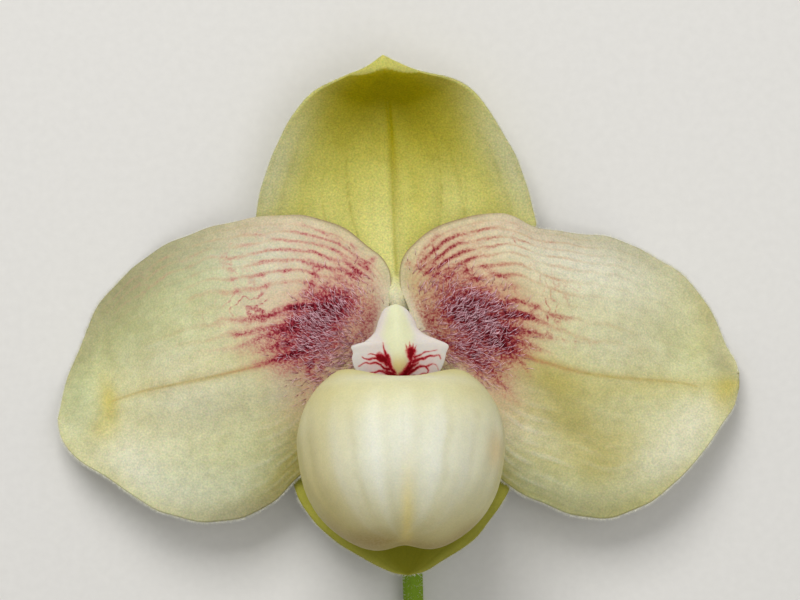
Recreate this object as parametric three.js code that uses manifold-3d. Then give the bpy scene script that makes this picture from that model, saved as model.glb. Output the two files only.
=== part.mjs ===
// A slipper orchid flower (genus Paphiopedilum) picked with its stalk and laid on its back.
// Millimetres. +Z is up and is the way the flower faces, +Y runs from its centre to the top
// sepal, -Y to the cut end of the stalk. The origin is the middle of the footprint, on the
// surface: the flower rests on a flat spot behind each petal and on the end of its stalk.
import * as THREE from "three";
import { mergeVertices } from "three/addons/utils/BufferGeometryUtils.js";
import Module from "manifold-3d";

const wasm = await Module();
wasm.setup();

// ---- driving dimensions ----------------------------------------------------------------

const CENTRE = new THREE.Vector3(0.2, 28.8, 13); // where petals, sepals, lip and column meet

// Blades. Outlines are seen from the front, in mm from the flower's centre, base to tip; the
// margins are the lower and the upper one of a petal, the left and the right one of the rest.
const PETAL_RIGHT = {
  margins: [
    [[2.7, -3.4], [5.4, -9], [11, -19.5], [18.7, -29], [27, -33.6], [36.9, -35.9],
      [45, -32.8], [53, -26], [59.2, -18.4], [61.9, -12.4]],
    [[2.1, 1.7], [0.6, 4.6], [0, 7.4], [0.2, 10.2], [1.6, 12.8], [5.4, 15.9], [10.4, 18.1],
      [18, 19.3], [24.4, 16.8], [33.5, 15.5], [41, 14], [50.6, 9.1], [56.8, 1.8],
      [60.2, -5.5], [61.9, -12.4]],
  ],
  midrib: [[2.4, -0.9], [11, -3], [21, -5], [36, -9.9], [49, -11.9], [61.9, -12.4]],
};
const PETAL_LEFT = {
  margins: [
    [[-2.4, -3.4], [-5.2, -9], [-11, -19.5], [-19.3, -29.2], [-25, -34.2], [-34.6, -36.5],
      [-43.4, -34.3], [-52.3, -28.9], [-58.6, -25], [-61.4, -21.6], [-62.3, -18.2]],
    [[-2.2, 1.6], [-1.8, 4.6], [-1.7, 7.4], [-2.1, 9.4], [-3.5, 11.5], [-5.6, 13.1],
      [-10.4, 16.6], [-16, 18.6], [-20.5, 19], [-26, 18.4], [-36.4, 16.2], [-46.8, 10.9],
      [-54.6, 3.6], [-58.7, -5.5], [-60.9, -11], [-62.3, -18.2]],
  ],
  midrib: [[-2.3, -0.8], [-11, -3.2], [-23.5, -7.7], [-40, -11.5], [-49.4, -14.1],
    [-62.3, -18.2]],
};
const DORSAL_SEPAL = {
  margins: [
    [[-2.2, 2], [-12, 5.4], [-21, 10.8], [-25.4, 17], [-25.9, 20.4], [-23.4, 29],
      [-19.9, 36], [-15.8, 41], [-10.4, 43.7], [-6.2, 45.4], [-3.1, 47.5]],
    [[2.2, 2], [11.5, 5.4], [20, 10.4], [24.1, 16], [24.4, 18.8], [22, 27.1], [18.1, 34.5],
      [14.5, 40], [10, 43.3], [2.7, 45], [-3.1, 47.5]],
  ],
  midrib: [[-0.3, 2], [-1, 14], [-1.5, 28], [-2.3, 40], [-3.1, 47.5]],
};
const SYNSEPAL = {
  margins: [
    [[-2.2, -2.1], [-9.5, -7.6], [-16.8, -17], [-19.9, -25], [-19.3, -29.6],
      [-17.1, -34.4], [-12, -39.6], [-6, -43.3], [1.4, -46]],
    [[2.2, -2.1], [9.5, -7.6], [17.3, -17], [20.4, -25], [19.8, -30.2], [17.5, -34.4],
      [13.3, -39.6], [7.6, -43.4], [1.4, -46]],
  ],
  midrib: [[0, -2.1], [0.3, -15], [0.8, -30], [1.4, -46]],
};
const STAMINODE = {
  margins: [
    [[-1.8, 2.6], [-2.5, 2.2], [-3.3, -0.2], [-4.3, -2.5], [-5.5, -3.7], [-7, -4.4],
      [-8.4, -4.9], [-8.6, -6.5], [-8.1, -8.5], [-5.4, -10.7], [-2.4, -11.7], [0, -12]],
    [[0.2, 2.6], [0.9, 2.2], [2.3, -0.2], [4.1, -2.6], [5.8, -3.5], [7.4, -3.8],
      [8.5, -4.6], [8.1, -7.1], [7, -9.1], [4.8, -10.7], [2.2, -11.6], [0, -12]],
  ],
  midrib: [[-0.8, 2.6], [-0.5, -2], [-0.2, -7], [0, -12]],
};

// Relief of each blade: mm in front of the flower's centre, or behind it where negative.
// A row is one station from base (0) to tip (1), with its five depths from margin to margin.
const PETAL_RELIEF = {
  stations: [0, 0.2, 0.4, 0.6, 0.8, 1],
  depth: [
    [-1, -1, -1, -1, -1],
    [-0.9, 1, 2.2, 2.2, -0.2],
    [-1.8, 0.1, 2.2, 1.4, -3.6],
    [-1.6, -1.8, -0.6, -3.4, -11],
    [-2.2, -4.8, -6, -10.8, -14.2],
    [-8.6, -8.6, -8.6, -8.6, -8.6],
  ],
};
const DORSAL_RELIEF = {
  stations: [0, 0.06, 0.2, 0.4, 0.6, 0.8, 0.93, 1],
  depth: [
    [-2.3, -2.3, -2.3, -2.3, -2.3],
    [-2.6, -2.7, -2.8, -2.7, -2.6],
    [-4.9, -5.2, -5.4, -5.2, -4.9],
    [-5.4, -7.4, -8.4, -7.4, -5.4],
    [-3.2, -7.4, -9, -7.4, -3.2],
    [-1, -4.2, -6.8, -4.2, -1],
    [2, 2.1, 2.6, 2.1, 2],
    [3.4, 3.4, 3.4, 3.4, 3.4],
  ],
};
const SYNSEPAL_RELIEF = {
  stations: [0, 0.06, 0.2, 0.4, 0.6, 0.8, 1],
  depth: [
    [-2.3, -2.3, -2.3, -2.3, -2.3],
    [-2.5, -2.6, -2.7, -2.6, -2.5],
    [-3.4, -4, -4.3, -4, -3.4],
    [-3.5, -4.5, -4.9, -4.5, -3.5],
    [-3, -4.5, -5, -4.5, -3],
    [-1.4, -3.6, -4.4, -3.6, -1.4],
    [-0.6, -0.6, -0.6, -0.6, -0.6],
  ],
};
const STAMINODE_RELIEF = {
  stations: [0, 0.2, 0.45, 0.75, 1],
  depth: [
    [6.6, 6.6, 6.6, 6.6, 6.6],
    [6.6, 7.2, 8, 7.2, 6.6],
    [7.6, 8, 9.6, 8, 7.6],
    [7.6, 8.4, 10.2, 8.4, 7.6],
    [8.6, 8.6, 8.6, 8.6, 8.6],
  ],
};

// Soft swells and hollows of a petal: where they lie from base to tip and from lower (-1) to
// upper (1) margin, how far they spread each way, and their height in mm.
const PETAL_RIGHT_SWELLS = [
  { along: 0.5, across: -0.4, length: 0.22, width: 0.17, height: -1.3 },
  { along: 0.8, across: -0.55, length: 0.15, width: 0.3, height: 1 },
];
const PETAL_LEFT_SWELLS = [
  { along: 0.86, across: 0, length: 0.06, width: 0.26, height: -0.9 },
  { along: 0.45, across: -0.35, length: 0.2, width: 0.17, height: -0.8 },
  { along: 0.62, across: -0.65, length: 0.2, width: 0.3, height: 0.9 },
];

const PETAL_THICKNESS = { middle: 1.1, margin: 0.75 };
const SEPAL_THICKNESS = { middle: 1, margin: 0.7 };
const STAMINODE_THICKNESS = { middle: 1.2, margin: 0.7 };
const BLADE_STEPS = 18; // mesh steps from base to tip
const BLADE_COLUMNS = 12; // mesh steps from margin to margin

// The lip is a hollow slipper. Its profiles run from the toe to the rim and over it, in mm from
// LIP_CENTRE: distance from the lip's axis, then height along that axis towards the mouth.
const LIP_CENTRE = new THREE.Vector3(0.2, -22.9, 17);
const LIP_TILT = 21.4; // degrees the mouth leans back from +Y
const LIP_FRONT = [[0, -17.8], [9.1, -15.6], [15.7, -9], [17.9, -1], [16.9, 4.4], [14.4, 7.6],
  [11.2, 9.4], [8.4, 10], [7, 8.8], [7.6, 6.6]];
const LIP_SIDE = [[0, -17.8], [9.1, -15.4], [15.5, -9], [17.7, 0], [17.3, 5.4], [15.6, 9.6],
  [13.1, 13], [11, 14.7], [9.5, 13.5], [10, 11]];
const LIP_BACK = [[0, -17.8], [9.1, -15.4], [15, -9], [16.8, -1], [15.8, 6], [13.6, 12.2],
  [11, 18], [9, 22.4], [7.9, 24.6], [7.7, 25.4]];
const LIP_THICKNESS = 1;
const LIP_CLEFT = { depth: 1.7, width: 3.6 }; // the cleft that parts the toe in two
const LIP_TURNS = 36; // mesh steps round the axis
const LIP_STEPS = 20; // mesh steps from toe to rim

// The column stands on the ovary, between the petals, and carries what makes seed and pollen.
const COLUMN_PROFILE = [[0, -2.9], [1.6, -2.9], [1.6, 1.5], [2, 4], [1.9, 5.6], [0, 5.8]];
const STIGMA = { at: [0, -3.4, 4.6], radii: [2.2, 1.3, 2.2] };
const STIGMA_NECK = { radius: 1.1, length: 2.4, at: [0, -1.8, 3.6] };
const ANTHER = { x: 3.8, y: -3.2, z: 4.7, radii: [1.1, 1.5, 1.3] };
const ANTHER_ARM = { radius: 0.75, length: 3.4, below: 0.2 };

// Stalks: points on the centre line from the flower outwards, and radii along it.
const OVARY_PATH = [[0, 0, -3.5], [0, -0.1, -4.8], [0.1, -4.2, -7.6], [0.4, -10, -8.7],
  [1.1, -20, -8.9], [1.9, -34, -8.9]];
const OVARY_RADII = [2.6, 2.5, 2.3, 2.2, 2.1, 1.9];
const OVARY_RIBS = { count: 6, share: 0.05 }; // height as a share of the radius
const PEDUNCLE_PATH = [[1.9, -34.4, -8.9], [2.4, -50, -9.2], [3.1, -72, -10],
  [4, -105.6, -11.24]];
const PEDUNCLE_RADIUS = 1.8;
const BRACT = {
  base: new THREE.Vector3(2.05, -37, -8.95),
  tip: new THREE.Vector3(1.1, -20, -8.9),
  insideRadius: 2.85,
  flare: 0.3, // how much further out the tip stands
  wrap: 112, // degrees to each side of the underside that its base clasps
  thickness: 0.65,
};

const COLOURS = {
  petal: 0xe3e0b4,
  dorsal: 0xcdc95a,
  synsepal: 0x9da23a,
  lip: 0xe6e2bd,
  staminode: 0xf3eee2,
  column: 0xe9e6b4,
  pollen: 0xd8b24a,
  ovary: 0x8fa83e,
  bract: 0x7f9b3c,
  peduncle: 0x86a83a,
};

// ---- shared shapes ----------------------------------------------------------------------

// Smooth curve through values at knots: a cubic with the slope of its neighbours at each knot.
function interpolate(knots, values, x) {
  let i = 0;
  while (i < knots.length - 2 && x > knots[i + 1]) i++;
  const span = knots[i + 1] - knots[i];
  const u = (x - knots[i]) / span;
  const slope = (k) => {
    const a = Math.max(k - 1, 0);
    const b = Math.min(k + 1, knots.length - 1);
    return ((values[b] - values[a]) / (knots[b] - knots[a])) * span;
  };
  const ease = u * u * (3 - 2 * u);
  const straight = values[i] * (1 - ease) + values[i + 1] * ease;
  return straight + slope(i) * u * (1 - u) ** 2 - slope(i + 1) * u * u * (1 - u);
}

function evenKnots(values) {
  return values.map((_, i) => i / (values.length - 1));
}

// Merges equal vertices and drops the triangles that a pole or a pointed tip collapses.
function closedGeometry(points, triangles) {
  const soup = new THREE.BufferGeometry().setFromPoints(points);
  soup.setIndex(triangles.flat());
  const merged = mergeVertices(soup, 1e-3);
  const index = merged.index.array;
  const kept = [];
  for (let i = 0; i < index.length; i += 3) {
    const [a, b, c] = index.slice(i, i + 3);
    if (a !== b && b !== c && c !== a) kept.push(a, b, c);
  }
  merged.setIndex(kept);
  merged.computeVertexNormals();
  return merged;
}

// A closed sheet of some thickness round the surface middle(u, w), both from 0 to 1. Its
// margins stay sharp, and both faces are split into triangles alike. Where closed is true,
// w runs round a full turn. lift says how far a point of the back, and its pair, is raised.
function sheet({ middle, thickness, steps, columns, closed = false, lift = () => 0 }) {
  const points = [];
  const triangles = [];
  const near = 0.004; // how far from a point its slopes are measured
  for (const side of [1, -1]) {
    for (let i = 0; i <= steps; i++) {
      for (let j = 0; j <= columns; j++) {
        const u = i / steps;
        const w = closed ? (j % columns) / columns : j / columns;
        const inner = THREE.MathUtils.clamp(u, near, 1 - near);
        const before = closed ? w - near : Math.max(w - near, 0);
        const after = closed ? w + near : Math.min(w + near, 1);
        const along = middle(inner + near, w).sub(middle(inner - near, w));
        const across = middle(inner, after).sub(middle(inner, before));
        const normal = along.cross(across).normalize();
        points.push(middle(u, w).addScaledVector(normal, (side * thickness(u, w)) / 2));
      }
    }
  }
  const row = columns + 1;
  const back = (steps + 1) * row;
  for (let i = 0; i < back; i++) {
    const lower = points[i].z < points[back + i].z ? points[i] : points[back + i];
    const raise = lift(lower.z);
    points[i].z += raise;
    points[back + i].z += raise;
  }
  for (let i = 0; i < steps; i++) {
    for (let j = 0; j < columns; j++) {
      const a = i * row + j;
      const [b, c, d] = [a + row, a + row + 1, a + 1];
      triangles.push([a, b, c], [a, c, d]);
      triangles.push([back + a, back + c, back + b], [back + a, back + d, back + c]);
    }
  }
  const rim = (a, b) => triangles.push([a, b, back + b], [a, back + b, back + a]);
  for (let j = 0; j < columns; j++) {
    rim(j, j + 1);
    rim(steps * row + j + 1, steps * row + j);
  }
  for (let i = 0; !closed && i < steps; i++) {
    rim((i + 1) * row, i * row);
    rim(i * row + columns, (i + 1) * row + columns);
  }
  return closedGeometry(points, triangles);
}

// How far a point is raised so that a blade that would dip below the surface lies flat on it.
function liftOntoSurface(z) {
  const height = z + CENTRE.z;
  const soft = 0.15;
  if (height >= soft) return 0;
  if (height <= -soft) return -height;
  return (height + soft) ** 2 / (4 * soft) - height;
}

// A petal, sepal or staminode between two margins and a midrib that share their tip.
function blade(outline, relief, bladeThickness, swells = []) {
  const [first, midrib, second] = [outline.margins[0], outline.midrib, outline.margins[1]].map(
    (list) => new THREE.SplineCurve(list.map(([x, y]) => new THREE.Vector2(x, y))),
  );
  const lanes = [-1, -0.5, 0, 0.5, 1];
  const depth = (u, v) => {
    const across = relief.depth.map((row) => interpolate(lanes, row, v));
    const swell = swells.map(({ along, across: at, length, width, height }) =>
      height * Math.exp(-(((u - along) / length) ** 2) - ((v - at) / width) ** 2),
    );
    return swell.reduce((a, b) => a + b, interpolate(relief.stations, across, u));
  };
  // Across the blade, a parabola goes through both margins and the midrib.
  const middle = (u, w) => {
    const v = 2 * w - 1;
    const [a, m, b] = [first, midrib, second].map((curve) => curve.getPointAt(u));
    const place = (k) => m[k] + (v * (b[k] - a[k])) / 2 + v * v * ((a[k] + b[k]) / 2 - m[k]);
    return new THREE.Vector3(place("x"), place("y"), depth(u, v));
  };
  const fullness = (u, w) => (1 - (2 * w - 1) ** 4) * (1 - u ** 6);
  const thickness = (u, w) =>
    THREE.MathUtils.lerp(bladeThickness.margin, bladeThickness.middle, fullness(u, w));
  return sheet({
    middle, thickness, steps: BLADE_STEPS, columns: BLADE_COLUMNS, lift: liftOntoSurface,
  });
}

// A solid stalk along a path, with a radius for each place along it and round it.
function stalk(path, radius, steps, sides) {
  const curve = new THREE.CatmullRomCurve3(path.map((p) => new THREE.Vector3(...p)));
  const points = [];
  const triangles = [];
  const side = new THREE.Vector3(1, 0, 0);
  for (let i = 0; i <= steps; i++) {
    const centre = curve.getPointAt(i / steps);
    const along = curve.getTangentAt(i / steps);
    const up = along.clone().cross(side).normalize();
    const out = up.clone().cross(along).normalize();
    for (let j = 0; j < sides; j++) {
      const angle = (j / sides) * 2 * Math.PI;
      const r = radius(i / steps, angle);
      const rim = centre.clone().addScaledVector(out, r * Math.cos(angle));
      points.push(rim.addScaledVector(up, r * Math.sin(angle)));
    }
  }
  points.push(curve.getPointAt(0), curve.getPointAt(1));
  const [start, end] = [points.length - 2, points.length - 1];
  for (let j = 0; j < sides; j++) {
    const next = (j + 1) % sides;
    triangles.push([start, next, j], [end, steps * sides + j, steps * sides + next]);
    for (let i = 0; i < steps; i++) {
      const [a, b] = [i * sides + j, i * sides + next];
      triangles.push([a, b, b + sides], [a, b + sides, a + sides]);
    }
  }
  return closedGeometry(points, triangles);
}

function toSolid(geometry) {
  const plain = geometry.clone();
  plain.deleteAttribute("normal");
  plain.deleteAttribute("uv");
  const merged = mergeVertices(plain, 1e-3);
  return new wasm.Manifold(new wasm.Mesh({
    numProp: 3,
    vertProperties: merged.attributes.position.array,
    triVerts: new Uint32Array(merged.index.array),
  }));
}

// One geometry for shapes that have grown together.
function grownTogether(geometries) {
  const made = geometries.map(toSolid).reduce((a, b) => a.add(b)).getMesh();
  const geometry = new THREE.BufferGeometry();
  geometry.setAttribute("position", new THREE.BufferAttribute(made.vertProperties, 3));
  geometry.setIndex(new THREE.BufferAttribute(made.triVerts, 1));
  geometry.computeVertexNormals();
  return geometry;
}

function ellipsoid([x, y, z], [rx, ry, rz], sides) {
  return new THREE.SphereGeometry(1, sides, sides / 2).scale(rx, ry, rz).translate(x, y, z);
}

// ---- the flower's own pieces --------------------------------------------------------------

// The middle of the lip's wall: u from toe to rim, turn once round its axis from the front.
function lipWall(u, turn) {
  const angle = 2 * Math.PI * turn;
  const front = Math.max(Math.cos(angle), 0) ** 2;
  const back = Math.max(-Math.cos(angle), 0) ** 4;
  const profile = (k) => LIP_SIDE.map((p, i) =>
    (1 - front - back) * p[k] + front * LIP_FRONT[i][k] + back * LIP_BACK[i][k],
  );
  const [out, height] = [0, 1].map((k) => interpolate(evenKnots(LIP_SIDE), profile(k), u));
  const tilt = THREE.MathUtils.degToRad(LIP_TILT);
  const forward = out * Math.cos(angle);
  const p = new THREE.Vector3(
    out * Math.sin(angle),
    height * Math.cos(tilt) + forward * Math.sin(tilt),
    forward * Math.cos(tilt) - height * Math.sin(tilt),
  );
  // The cleft is deepest under the toe and runs out over the front.
  const away = p.clone().normalize();
  const onFront = THREE.MathUtils.smoothstep(away.z, -1, 0.1);
  const nearToe = Math.max(0, 0.25 - 0.75 * away.y) * onFront;
  const cleft = LIP_CLEFT.depth * nearToe * Math.exp(-((p.x / LIP_CLEFT.width) ** 2));
  return p.addScaledVector(away, -cleft).add(LIP_CENTRE);
}

function lip() {
  return sheet({
    middle: lipWall,
    thickness: (u) => LIP_THICKNESS * (1 - 0.25 * u ** 4),
    steps: LIP_STEPS,
    columns: LIP_TURNS,
    closed: true,
  });
}

// The column, with the stigma on its neck and an arm to each anther.
function column() {
  const profile = COLUMN_PROFILE.map(([r, z]) => new THREE.Vector2(r, z));
  const post = new THREE.LatheGeometry(profile, 20).rotateX(Math.PI / 2);
  const arms = new THREE.CapsuleGeometry(ANTHER_ARM.radius, ANTHER_ARM.length, 3, 10)
    .rotateZ(Math.PI / 2)
    .translate(0, ANTHER.y, ANTHER.z - ANTHER_ARM.below);
  const neck = new THREE.CapsuleGeometry(STIGMA_NECK.radius, STIGMA_NECK.length, 3, 10)
    .translate(...STIGMA_NECK.at);
  return grownTogether([post, arms, neck, ellipsoid(STIGMA.at, STIGMA.radii, 16)]);
}

function anther(side) {
  return ellipsoid([side * ANTHER.x, ANTHER.y, ANTHER.z], ANTHER.radii, 12);
}

function ovary() {
  const knots = evenKnots(OVARY_RADII);
  const rib = (angle) => 1 + OVARY_RIBS.share * Math.cos(OVARY_RIBS.count * angle);
  return stalk(OVARY_PATH, (u, angle) => interpolate(knots, OVARY_RADII, u) * rib(angle), 22, 24);
}

// The bract clasps the foot of the ovary from below and narrows to a point.
function bract() {
  const wrap = THREE.MathUtils.degToRad(BRACT.wrap);
  const middle = (u, w) => {
    const angle = wrap * (1 - u ** 3) ** 0.7 * (2 * w - 1);
    const radius = BRACT.insideRadius + BRACT.flare * u;
    const out = new THREE.Vector3(-Math.sin(angle), 0, -Math.cos(angle));
    return BRACT.base.clone().lerp(BRACT.tip, u).addScaledVector(out, radius);
  };
  return sheet({ middle, thickness: () => BRACT.thickness, steps: 10, columns: 10 });
}

// ---- assembly -------------------------------------------------------------------------------

function piece(name, geometry, colour, roughness) {
  const material = new THREE.MeshStandardMaterial({ color: colour, roughness, metalness: 0 });
  const mesh = new THREE.Mesh(geometry, material);
  mesh.name = name;
  return mesh;
}

const petalRight = blade(PETAL_RIGHT, PETAL_RELIEF, PETAL_THICKNESS, PETAL_RIGHT_SWELLS);
const petalLeft = blade(PETAL_LEFT, PETAL_RELIEF, PETAL_THICKNESS, PETAL_LEFT_SWELLS);
const dorsalSepal = blade(DORSAL_SEPAL, DORSAL_RELIEF, SEPAL_THICKNESS);
const synsepal = blade(SYNSEPAL, SYNSEPAL_RELIEF, SEPAL_THICKNESS);
const staminode = blade(STAMINODE, STAMINODE_RELIEF, STAMINODE_THICKNESS);
const peduncle = stalk(PEDUNCLE_PATH, () => PEDUNCLE_RADIUS, 16, 14);

const flower = new THREE.Group();
flower.position.copy(CENTRE);
flower.add(
  piece("petal_right", petalRight, COLOURS.petal, 0.6),
  piece("petal_left", petalLeft, COLOURS.petal, 0.6),
  piece("dorsal_sepal", dorsalSepal, COLOURS.dorsal, 0.6),
  piece("synsepal", synsepal, COLOURS.synsepal, 0.6),
  piece("lip", lip(), COLOURS.lip, 0.5),
  piece("staminode", staminode, COLOURS.staminode, 0.5),
  piece("column", column(), COLOURS.column, 0.5),
  piece("anther_left", anther(-1), COLOURS.pollen, 0.4),
  piece("anther_right", anther(1), COLOURS.pollen, 0.4),
  piece("ovary", ovary(), COLOURS.ovary, 0.6),
  piece("bract", bract(), COLOURS.bract, 0.6),
  piece("peduncle", peduncle, COLOURS.peduncle, 0.6),
);

export default flower;
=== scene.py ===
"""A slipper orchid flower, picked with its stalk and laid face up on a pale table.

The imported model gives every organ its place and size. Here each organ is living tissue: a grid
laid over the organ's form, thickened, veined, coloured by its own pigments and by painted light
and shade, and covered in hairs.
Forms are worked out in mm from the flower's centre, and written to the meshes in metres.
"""

import math
from functools import partial

import bpy
import numpy as np
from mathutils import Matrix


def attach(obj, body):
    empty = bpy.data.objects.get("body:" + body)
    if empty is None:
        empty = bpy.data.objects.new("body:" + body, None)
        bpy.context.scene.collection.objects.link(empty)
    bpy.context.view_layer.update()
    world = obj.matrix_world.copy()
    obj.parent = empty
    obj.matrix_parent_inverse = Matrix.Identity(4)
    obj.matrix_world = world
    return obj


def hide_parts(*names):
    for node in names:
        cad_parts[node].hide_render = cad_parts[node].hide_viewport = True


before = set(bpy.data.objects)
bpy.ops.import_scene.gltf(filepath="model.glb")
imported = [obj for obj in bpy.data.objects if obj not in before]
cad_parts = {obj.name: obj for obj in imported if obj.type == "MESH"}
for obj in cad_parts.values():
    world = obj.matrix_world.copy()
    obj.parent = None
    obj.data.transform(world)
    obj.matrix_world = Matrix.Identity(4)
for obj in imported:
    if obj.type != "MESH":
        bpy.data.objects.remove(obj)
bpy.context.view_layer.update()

MM = 0.001
BODY = "root"
chance = np.random.default_rng(11)

# ---- the flower's own dimensions, mm ---------------------------------------------------------

CENTRE = np.array([0.2, 28.8, 13.0])  # where petals, sepals, lip and column meet

# Outlines seen from the front, base to tip: first margin, midrib, second margin. The margins
# are the lower and the upper one of a petal, the left and the right one of the rest.
PETAL_RIGHT = (
    [(2.7, -3.4), (5.4, -9), (11, -19.5), (18.7, -29), (27, -33.6), (36.9, -35.9), (45, -32.8),
     (53, -26), (58.4, -18.8), (60.6, -15.8), (61.5, -12.8)],
    [(2.4, -0.9), (11, -3), (21, -5), (36, -9.9), (49, -11.4), (61.8, -11.2)],
    [(2.1, 1.7), (0.6, 4.6), (0, 7.4), (0.2, 10.2), (1.6, 12.8), (5.4, 15.9), (10.4, 18.1),
     (18, 19.3), (24.4, 16.8), (33.5, 15.5), (41, 14), (50.6, 9.1), (56.8, 1.8), (59.6, -4.8),
     (61.2, -7.6), (61.6, -9.6)],
)
PETAL_LEFT = (
    [(-2.4, -3.4), (-5.2, -9), (-11, -19.5), (-19.3, -29.2), (-25, -34.2), (-34.6, -36.5),
     (-43.4, -34.3), (-52.3, -28.9), (-58.6, -25), (-61.4, -21.6), (-62.3, -18.2)],
    [(-2.3, -0.8), (-11, -3.2), (-23.5, -7.7), (-40, -11.5), (-49.4, -14.1), (-62.3, -18.2)],
    [(-2.2, 1.6), (-1.8, 4.6), (-1.7, 7.4), (-2.1, 9.4), (-3.5, 11.5), (-5.6, 13.1),
     (-10.4, 16.6), (-16, 18.6), (-20.5, 19), (-26, 18.4), (-36.4, 16.2), (-46.8, 10.9),
     (-54.6, 3.6), (-58.7, -5.5), (-60.9, -11), (-62.3, -18.2)],
)
DORSAL_SEPAL = (
    [(-2.2, 2), (-12, 5.4), (-21, 10.8), (-25.4, 17), (-25.9, 20.4), (-23.4, 29), (-19.9, 36),
     (-15.8, 41), (-10.4, 43.7), (-6.2, 45.4), (-3.1, 47.5)],
    [(-0.3, 2), (-1, 14), (-1.5, 28), (-2.3, 40), (-3.1, 47.5)],
    [(2.2, 2), (11.5, 5.4), (20, 10.4), (24.1, 16), (24.4, 18.8), (22, 27.1), (18.1, 34.5),
     (14.5, 40), (10, 43.3), (2.7, 45), (-3.1, 47.5)],
)
SYNSEPAL = (
    [(-2.2, -2.1), (-9.5, -7.6), (-16.8, -17), (-19.9, -25), (-19.3, -29.6), (-17.1, -34.4),
     (-12, -39.6), (-6, -43.3), (-1.6, -45.4), (1.4, -46)],
    [(0, -2.1), (0.3, -15), (0.8, -30), (1.4, -46)],
    [(2.2, -2.1), (9.5, -7.6), (17.3, -17), (20.4, -25), (19.8, -30.2), (17.5, -34.4),
     (13.3, -39.6), (7.6, -43.4), (4.4, -45.3), (1.4, -46)],
)
STAMINODE = (
    [(-1.8, 2.6), (-2.9, 1.8), (-3.8, -0.2), (-4.3, -2), (-5.2, -3.2), (-6.3, -4.1),
     (-7.4, -4.75), (-8.65, -4.8), (-8.35, -5.8), (-8.5, -7), (-7.8, -8.9), (-5.4, -10.7),
     (-2.4, -11.7), (0, -12)],
    [(-0.8, 2.6), (-0.5, -2), (-0.2, -7), (0, -12)],
    [(0.2, 2.6), (1.3, 1.8), (2.5, -0.1), (3.1, -1.6), (4.4, -2.8), (5.6, -3.4), (7, -3.8),
     (8.6, -4.5), (8.2, -5.8), (7.9, -7.2), (7, -9.1), (4.8, -10.7), (2.2, -11.6), (0, -12)],
)

# Relief: mm in front of the flower's centre. Each row is a station from base (0) to tip (1)
# with the depths at these places from margin to margin, or up to the midrib where both sides
# are alike.
ACROSS = (-1, -0.5, 0, 0.5, 1)
PETAL_RELIEF = {
    0: (-1, -1, -1, -1, -1),
    0.2: (-0.9, 1, 2.2, 2.2, -0.2),
    0.4: (-1.8, 0.1, 2.2, 1.4, -3.6),
    0.6: (-1.6, -1.8, -0.6, -3.4, -11),
    0.8: (-2.2, -4.8, -6, -10.8, -14.2),
    0.93: (-5.6, -7, -7.8, -9.8, -11.4),
    1: (-8.6, -8.6, -8.6, -8.6, -8.6),
}
DORSAL_RELIEF = {
    0: (-2.3, -2.3, -2.3),
    0.06: (-2.6, -2.7, -2.8),
    0.2: (-4.9, -5.2, -5.4),
    0.4: (-5.4, -7.4, -8.4),
    0.6: (-3.2, -7.4, -9),
    0.8: (-1, -4.2, -6.8),
    0.93: (2, 2.1, 2.6),
    1: (3.4, 3.4, 3.4),
}
SYNSEPAL_RELIEF = {
    0: (-2.3, -2.3, -2.3),
    0.06: (-2.5, -2.6, -2.7),
    0.2: (-3.4, -4, -4.3),
    0.4: (-3.5, -4.5, -4.9),
    0.6: (-3, -4.5, -5),
    0.8: (-1.4, -3.6, -4.4),
    1: (-0.6, -0.6, -0.6),
}
STAMINODE_RELIEF = {
    0: (6.6, 6.6, 6.6),
    0.2: (6.6, 7.2, 8),
    0.45: (7.6, 8, 9.6),
    0.75: (7.6, 8.4, 10.2),
    1: (8.6, 8.6, 8.6),
}

# Soft areas of a blade, as (along, across, length, width, amount): a place from base (0) to tip
# (100) and from margin (-100) to margin (100), how far it spreads each way, and its amount, which
# is a strength in percent or a height in hundredths of a mm.
DORSAL_SWELLS = [(7, -8, 11, 36, 240)]  # its claw fills the gap between the petals
PETAL_RUFFLE, SEPAL_RUFFLE = 0.14, 0.06  # how far their margins wave, mm

# Lip profiles from the toe to the rim and over it: distance from its axis, height along it.
LIP_CENTRE = np.array([0.2, -22.9, 17])
LIP_TILT = math.radians(21.4)  # how far the mouth leans back from +Y
# the paleness on the lip's front is painted light
LIP_BULGE = 17  # how far its front stands out from its centre, for the paleness there
LIP_FRONT = np.array([(0, -17.8), (9.1, -15.6), (15.7, -9), (17.9, -1), (16.9, 4.4), (14.4, 7.6),
                      (11.2, 9.4), (8.4, 10), (7, 8.8), (7.6, 6.6)])
LIP_SIDE = np.array([(0, -17.8), (9.1, -15.4), (15.5, -9), (17.7, 0), (17.3, 5.2), (15.6, 9.2),
                     (13.1, 12.3), (11, 13.8), (9.5, 12.8), (10, 10.5)])
LIP_BACK = np.array([(0, -17.8), (9.1, -15.4), (15, -9), (16.8, -1), (15.8, 6), (13.6, 12.2),
                     (11, 18), (9, 22.4), (7.9, 24.6), (7.7, 25.4)])
LIP_CLEFT_DEPTH, LIP_CLEFT_WIDTH, LIP_CLEFT_ACROSS = 1.7, 3.6, 0.6
LIP_RIBS, LIP_RIB_HEIGHT = 20, 0.09

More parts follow.
